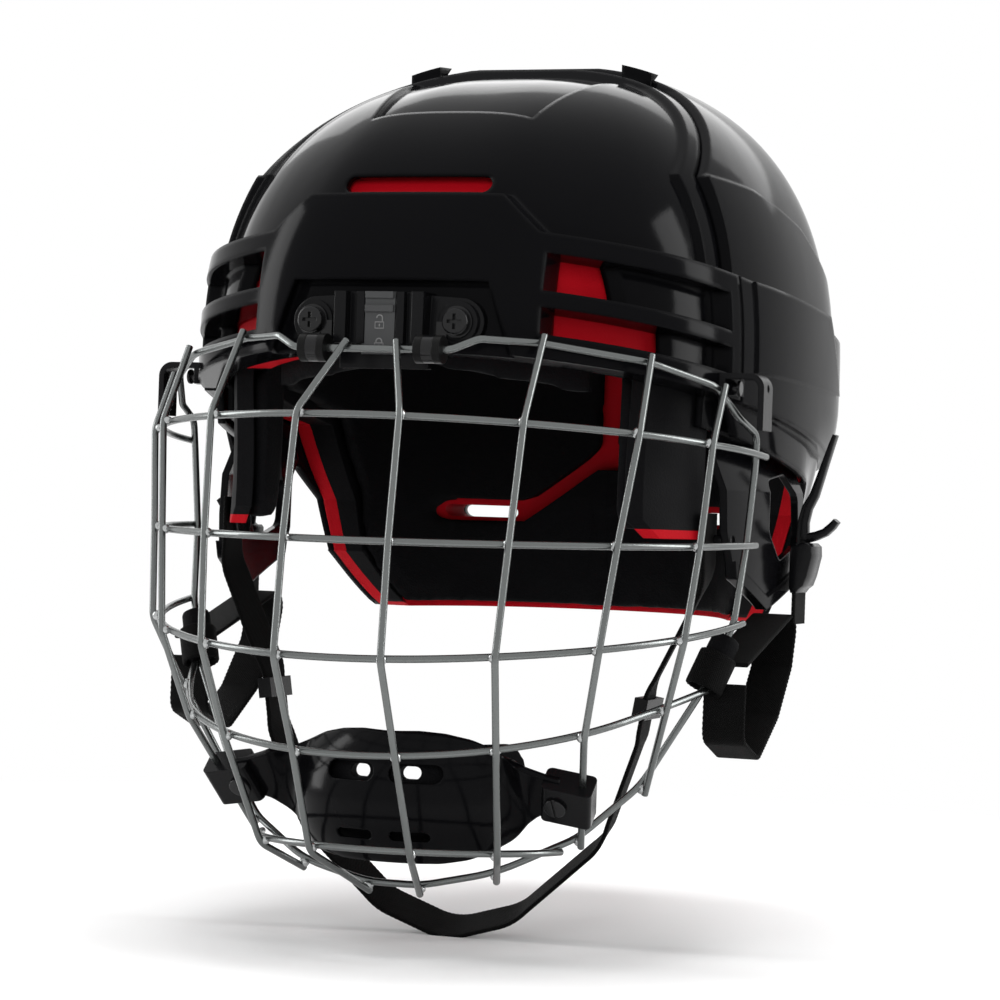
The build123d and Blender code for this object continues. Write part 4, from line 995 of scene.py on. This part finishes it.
def weld_tree():
    """Geometry nodes: a small bead at every point, its size varied by a fixed seed."""
    tree = bpy.data.node_groups.new("Weld beads", "GeometryNodeTree")
    inputs = (("Geometry", "Geometry"), ("Bead Radius", "Float"), ("Seed", "Int"), ("Finish", "Material"))
    for label, kind in inputs:
        tree.interface.new_socket(label, in_out="INPUT", socket_type="NodeSocket" + kind)
    tree.interface.new_socket("Geometry", in_out="OUTPUT", socket_type="NodeSocketGeometry")
    given = tree.nodes.new("NodeGroupInput")
    out = tree.nodes.new("NodeGroupOutput")
    bead = tree.nodes.new("GeometryNodeMeshIcoSphere")
    bead.inputs["Subdivisions"].default_value = 3
    vary = tree.nodes.new("FunctionNodeRandomValue")
    vary.data_type = "FLOAT_VECTOR"
    for socket, size in zip(vary.inputs, bead_sizes):
        socket.default_value = (size, size, size)
    place = tree.nodes.new("GeometryNodeInstanceOnPoints")
    smooth = tree.nodes.new("GeometryNodeSetShadeSmooth")
    single = tree.nodes.new("GeometryNodeRealizeInstances")
    finish = tree.nodes.new("GeometryNodeSetMaterial")
    links = (
        (given.outputs["Geometry"], place.inputs["Points"]),
        (given.outputs["Bead Radius"], bead.inputs["Radius"]),
        (given.outputs["Seed"], vary.inputs["Seed"]),
        (bead.outputs["Mesh"], place.inputs["Instance"]),
        (vary.outputs[0], place.inputs["Scale"]),
        (place.outputs["Instances"], smooth.inputs["Geometry"]),
        (smooth.outputs["Geometry"], single.inputs["Geometry"]),
        (single.outputs["Geometry"], finish.inputs["Geometry"]),
        (given.outputs["Finish"], finish.inputs["Material"]),
        (finish.outputs["Geometry"], out.inputs["Geometry"]),
    )
    for start, end in links:
        tree.links.new(start, end)
    return tree


def set_by_name(modifier, values):
    """Sets a geometry nodes modifier's inputs by their sockets' identifiers."""
    for item in modifier.node_group.interface.items_tree:
        if item.in_out == "INPUT" and item.name in values:
            modifier[item.identifier] = values[item.name]


def weld_beads():
    points = in_metres(weld_places)
    mesh = bpy.data.meshes.new("weld_beads")
    mesh.from_pydata([tuple(point) for point in points + mirrored(points)], [], [])
    piece = placed("weld_beads", mesh)
    beads = piece.modifiers.new("beads", "NODES")
    beads.node_group = weld_tree()
    set_by_name(beads, {"Bead Radius": bead_radius * mm, "Seed": bead_seed, "Finish": weld_silver})
    settle(piece)
    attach(piece, "cage")


# generic padlock marks, closed and open, raised on the latch plate
latch_face_y = -135.0
mark_proud = 0.22
mark_sunk = 0.05
mark_line = 0.36
lock_half_width = 1.5
lock_half_height = 1.0
keyhole_half = 0.45
shackle_radius = 1.0
shackle_rise = 1.5
shackle_foot = 1.05
shackle_steps = 10
open_lift = 0.8
closed_level, open_level = -83.4, -76.6


def add_line(shape, points, thick, closed=False):
    """Flat raised line through points in the XZ plane, standing on the latch face."""
    front = (latch_face_y - mark_proud) * mm
    back = (latch_face_y + mark_sunk) * mm
    count = len(points)
    rings = []
    for index, (x, z) in enumerate(points):
        before = points[index - 1] if index or closed else points[0]
        after = points[(index + 1) % count] if index < count - 1 or closed else points[-1]
        run = math.hypot(after[0] - before[0], after[1] - before[1])
        nx, nz = -(after[1] - before[1]) / run * thick / 2, (after[0] - before[0]) / run * thick / 2
        corners = ((nx, nz, front), (-nx, -nz, front), (-nx, -nz, back), (nx, nz, back))
        rings.append([shape.verts.new(((x + dx) * mm, y, (z + dz) * mm)) for dx, dz, y in corners])
    skin_rings(shape, rings, closed)


def padlock(shape, level, lift):
    """Body with a keyhole bar, and a shackle that is lifted when open."""
    low, high = level - lock_half_height, level + lock_half_height
    box = [(-lock_half_width, low), (lock_half_width, low), (lock_half_width, high), (-lock_half_width, high)]
    add_line(shape, box, mark_line, closed=True)
    add_line(shape, [(0, level - keyhole_half), (0, level + keyhole_half)], mark_line)
    turns = [math.pi * step / shackle_steps for step in range(shackle_steps + 1)]
    centre = level + shackle_rise + lift
    arc = [(shackle_radius * math.cos(turn), centre + shackle_radius * math.sin(turn)) for turn in turns]
    feet = [(side * shackle_radius, level + shackle_foot) for side in (1, -1)]
    add_line(shape, feet[:1] + arc + ([] if lift else feet[1:]), mark_line)


def latch_marks():
    shape = bmesh.new()
    padlock(shape, closed_level, 0.0)
    padlock(shape, open_level, open_lift)
    bmesh.ops.recalc_face_normals(shape, faces=shape.faces)
    piece = moulded("latch_marks", shape, mark_grey)
    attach(piece, "latch")


# room: pale floor, white surroundings and soft lamps
floor_pale = (0.88, 0.88, 0.88, 1)
floor_reach = 6.0
floor_drop = 2 * mm
shadow_reach, white_from = 0.33, 0.62
room_light = 0.35


def blend(tree, share, first, second):
    """One shader going over to another."""
    mix = add_node(tree, "ShaderNodeMixShader", None, Fac=share)
    tree.links.new(first, mix.inputs[1])
    tree.links.new(second, mix.inputs[2])
    return mix.outputs["Shader"]


def floor_finish():
    """Pale floor that keeps the shadow near the helmet and goes over to white further out."""
    material, tree, shader = new_material("Pale floor")
    shader.inputs["Base Color"].default_value = floor_pale
    shader.inputs["Roughness"].default_value = 0.9
    shader.inputs["Specular IOR Level"].default_value = 0.1
    matte = shader.outputs["BSDF"]
    place = add_node(tree, "ShaderNodeTexCoord")
    length = add_node(tree, "ShaderNodeVectorMath", {"operation": "LENGTH"})
    tree.links.new(place.outputs["Object"], length.inputs[0])
    far = add_node(tree, "ShaderNodeMapRange", {"interpolation_type": "SMOOTHSTEP"}, Value=length.outputs["Value"],
                   From_Min=shadow_reach, From_Max=white_from)
    glow = add_node(tree, "ShaderNodeEmission", None, Strength=1.0)
    pale = blend(tree, far.outputs["Result"], matte, glow.outputs["Emission"])
    path = add_node(tree, "ShaderNodeLightPath").outputs
    seen = worked(tree, "MAXIMUM", path["Is Camera Ray"], path["Is Glossy Ray"])
    tree.links.new(blend(tree, seen, matte, pale), tree.nodes["Material Output"].inputs["Surface"])
    return material


def floor():
    lowest = cad_bounds[0][2] - floor_drop
    mesh = bpy.data.meshes.new("floor")
    corners = [(x * floor_reach, y * floor_reach, lowest) for x, y in ((-1, -1), (1, -1), (1, 1), (-1, 1))]
    mesh.from_pydata(corners, [], [(0, 1, 2, 3)])
    mesh.materials.append(floor_finish())
    placed("floor", mesh)


def room():
    """World that is white where it is seen, and only lights the helmet a little."""
    world = bpy.data.worlds.new("White room")
    world.use_nodes = True
    bpy.context.scene.world = world
    tree = world.node_tree
    path = add_node(tree, "ShaderNodeLightPath").outputs
    direct = worked(tree, "MAXIMUM", path["Is Camera Ray"], path["Is Glossy Ray"])
    seen = worked(tree, "MAXIMUM", direct, path["Is Transmission Ray"])
    strength = add_node(tree, "ShaderNodeMapRange", None, Value=seen, To_Min=room_light, To_Max=1.0)
    back = tree.nodes["Background"]
    back.inputs["Color"].default_value = (1, 1, 1, 1)
    tree.links.new(strength.outputs["Result"], back.inputs["Strength"])


def lamp(name, place, aim, width, height, power, mirrored_in_gloss=True):
    data = bpy.data.lights.new(name, "AREA")
    data.shape = "RECTANGLE"
    data.size = width
    data.size_y = height
    data.energy = power
    light = bpy.data.objects.new(name, data)
    light.location = place
    direction = Vector(aim) - Vector(place)
    light.rotation_euler = direction.to_track_quat("-Z", "Y").to_euler()
    light.visible_glossy = mirrored_in_gloss
    bpy.context.scene.collection.objects.link(light)


camera_place = (0.404, -1.126, -0.1319)
camera_turn = ((0.9392, -0.0323, 0.3418), (0.3416, -0.0117, -0.9398), (0.0344, 0.9994, 0.0))
camera_lens = 118.8
camera_sensor = 36.0


def camera():
    data = bpy.data.cameras.new("camera")
    data.lens = camera_lens
    data.sensor_width = camera_sensor
    view = bpy.data.objects.new("camera", data)
    view.matrix_world = Matrix.Translation(camera_place) @ Matrix(camera_turn).to_4x4()
    bpy.context.scene.collection.objects.link(view)
    bpy.context.scene.camera = view


rear_shape("rear_shell")
rear_shape("rear_liner", depth_from="rear_shell")
soft_pads()
moulded_cup()
chin_webbing()
for side in sides:
    harness_webbing(side)
    harness_hook(side)
    foam_sleeve(side)
weld_beads()
latch_marks()
floor()
room()
# name, place, aim, width, height, power
lamp("top softbox", (0.0, 0.1, 1.25), (0, 0, -0.05), 1.4, 0.9, 22, mirrored_in_gloss=False)
lamp("rear softbox", (-0.25, 1.35, 0.72), (0, 0, -0.02), 1.8, 0.5, 4.5)
lamp("left softbox", (-1.35, -0.25, 0.30), (0, 0, -0.1), 0.35, 1.2, 9)
lamp("right softbox", (1.35, 0.45, 0.35), (0, 0, -0.1), 0.35, 1.2, 11)
lamp("front fill", (0.3, -1.7, 0.5), (0, 0, -0.15), 1.0, 0.8, 14, mirrored_in_gloss=False)
camera()
bpy.context.scene.view_settings.view_transform = "Standard"
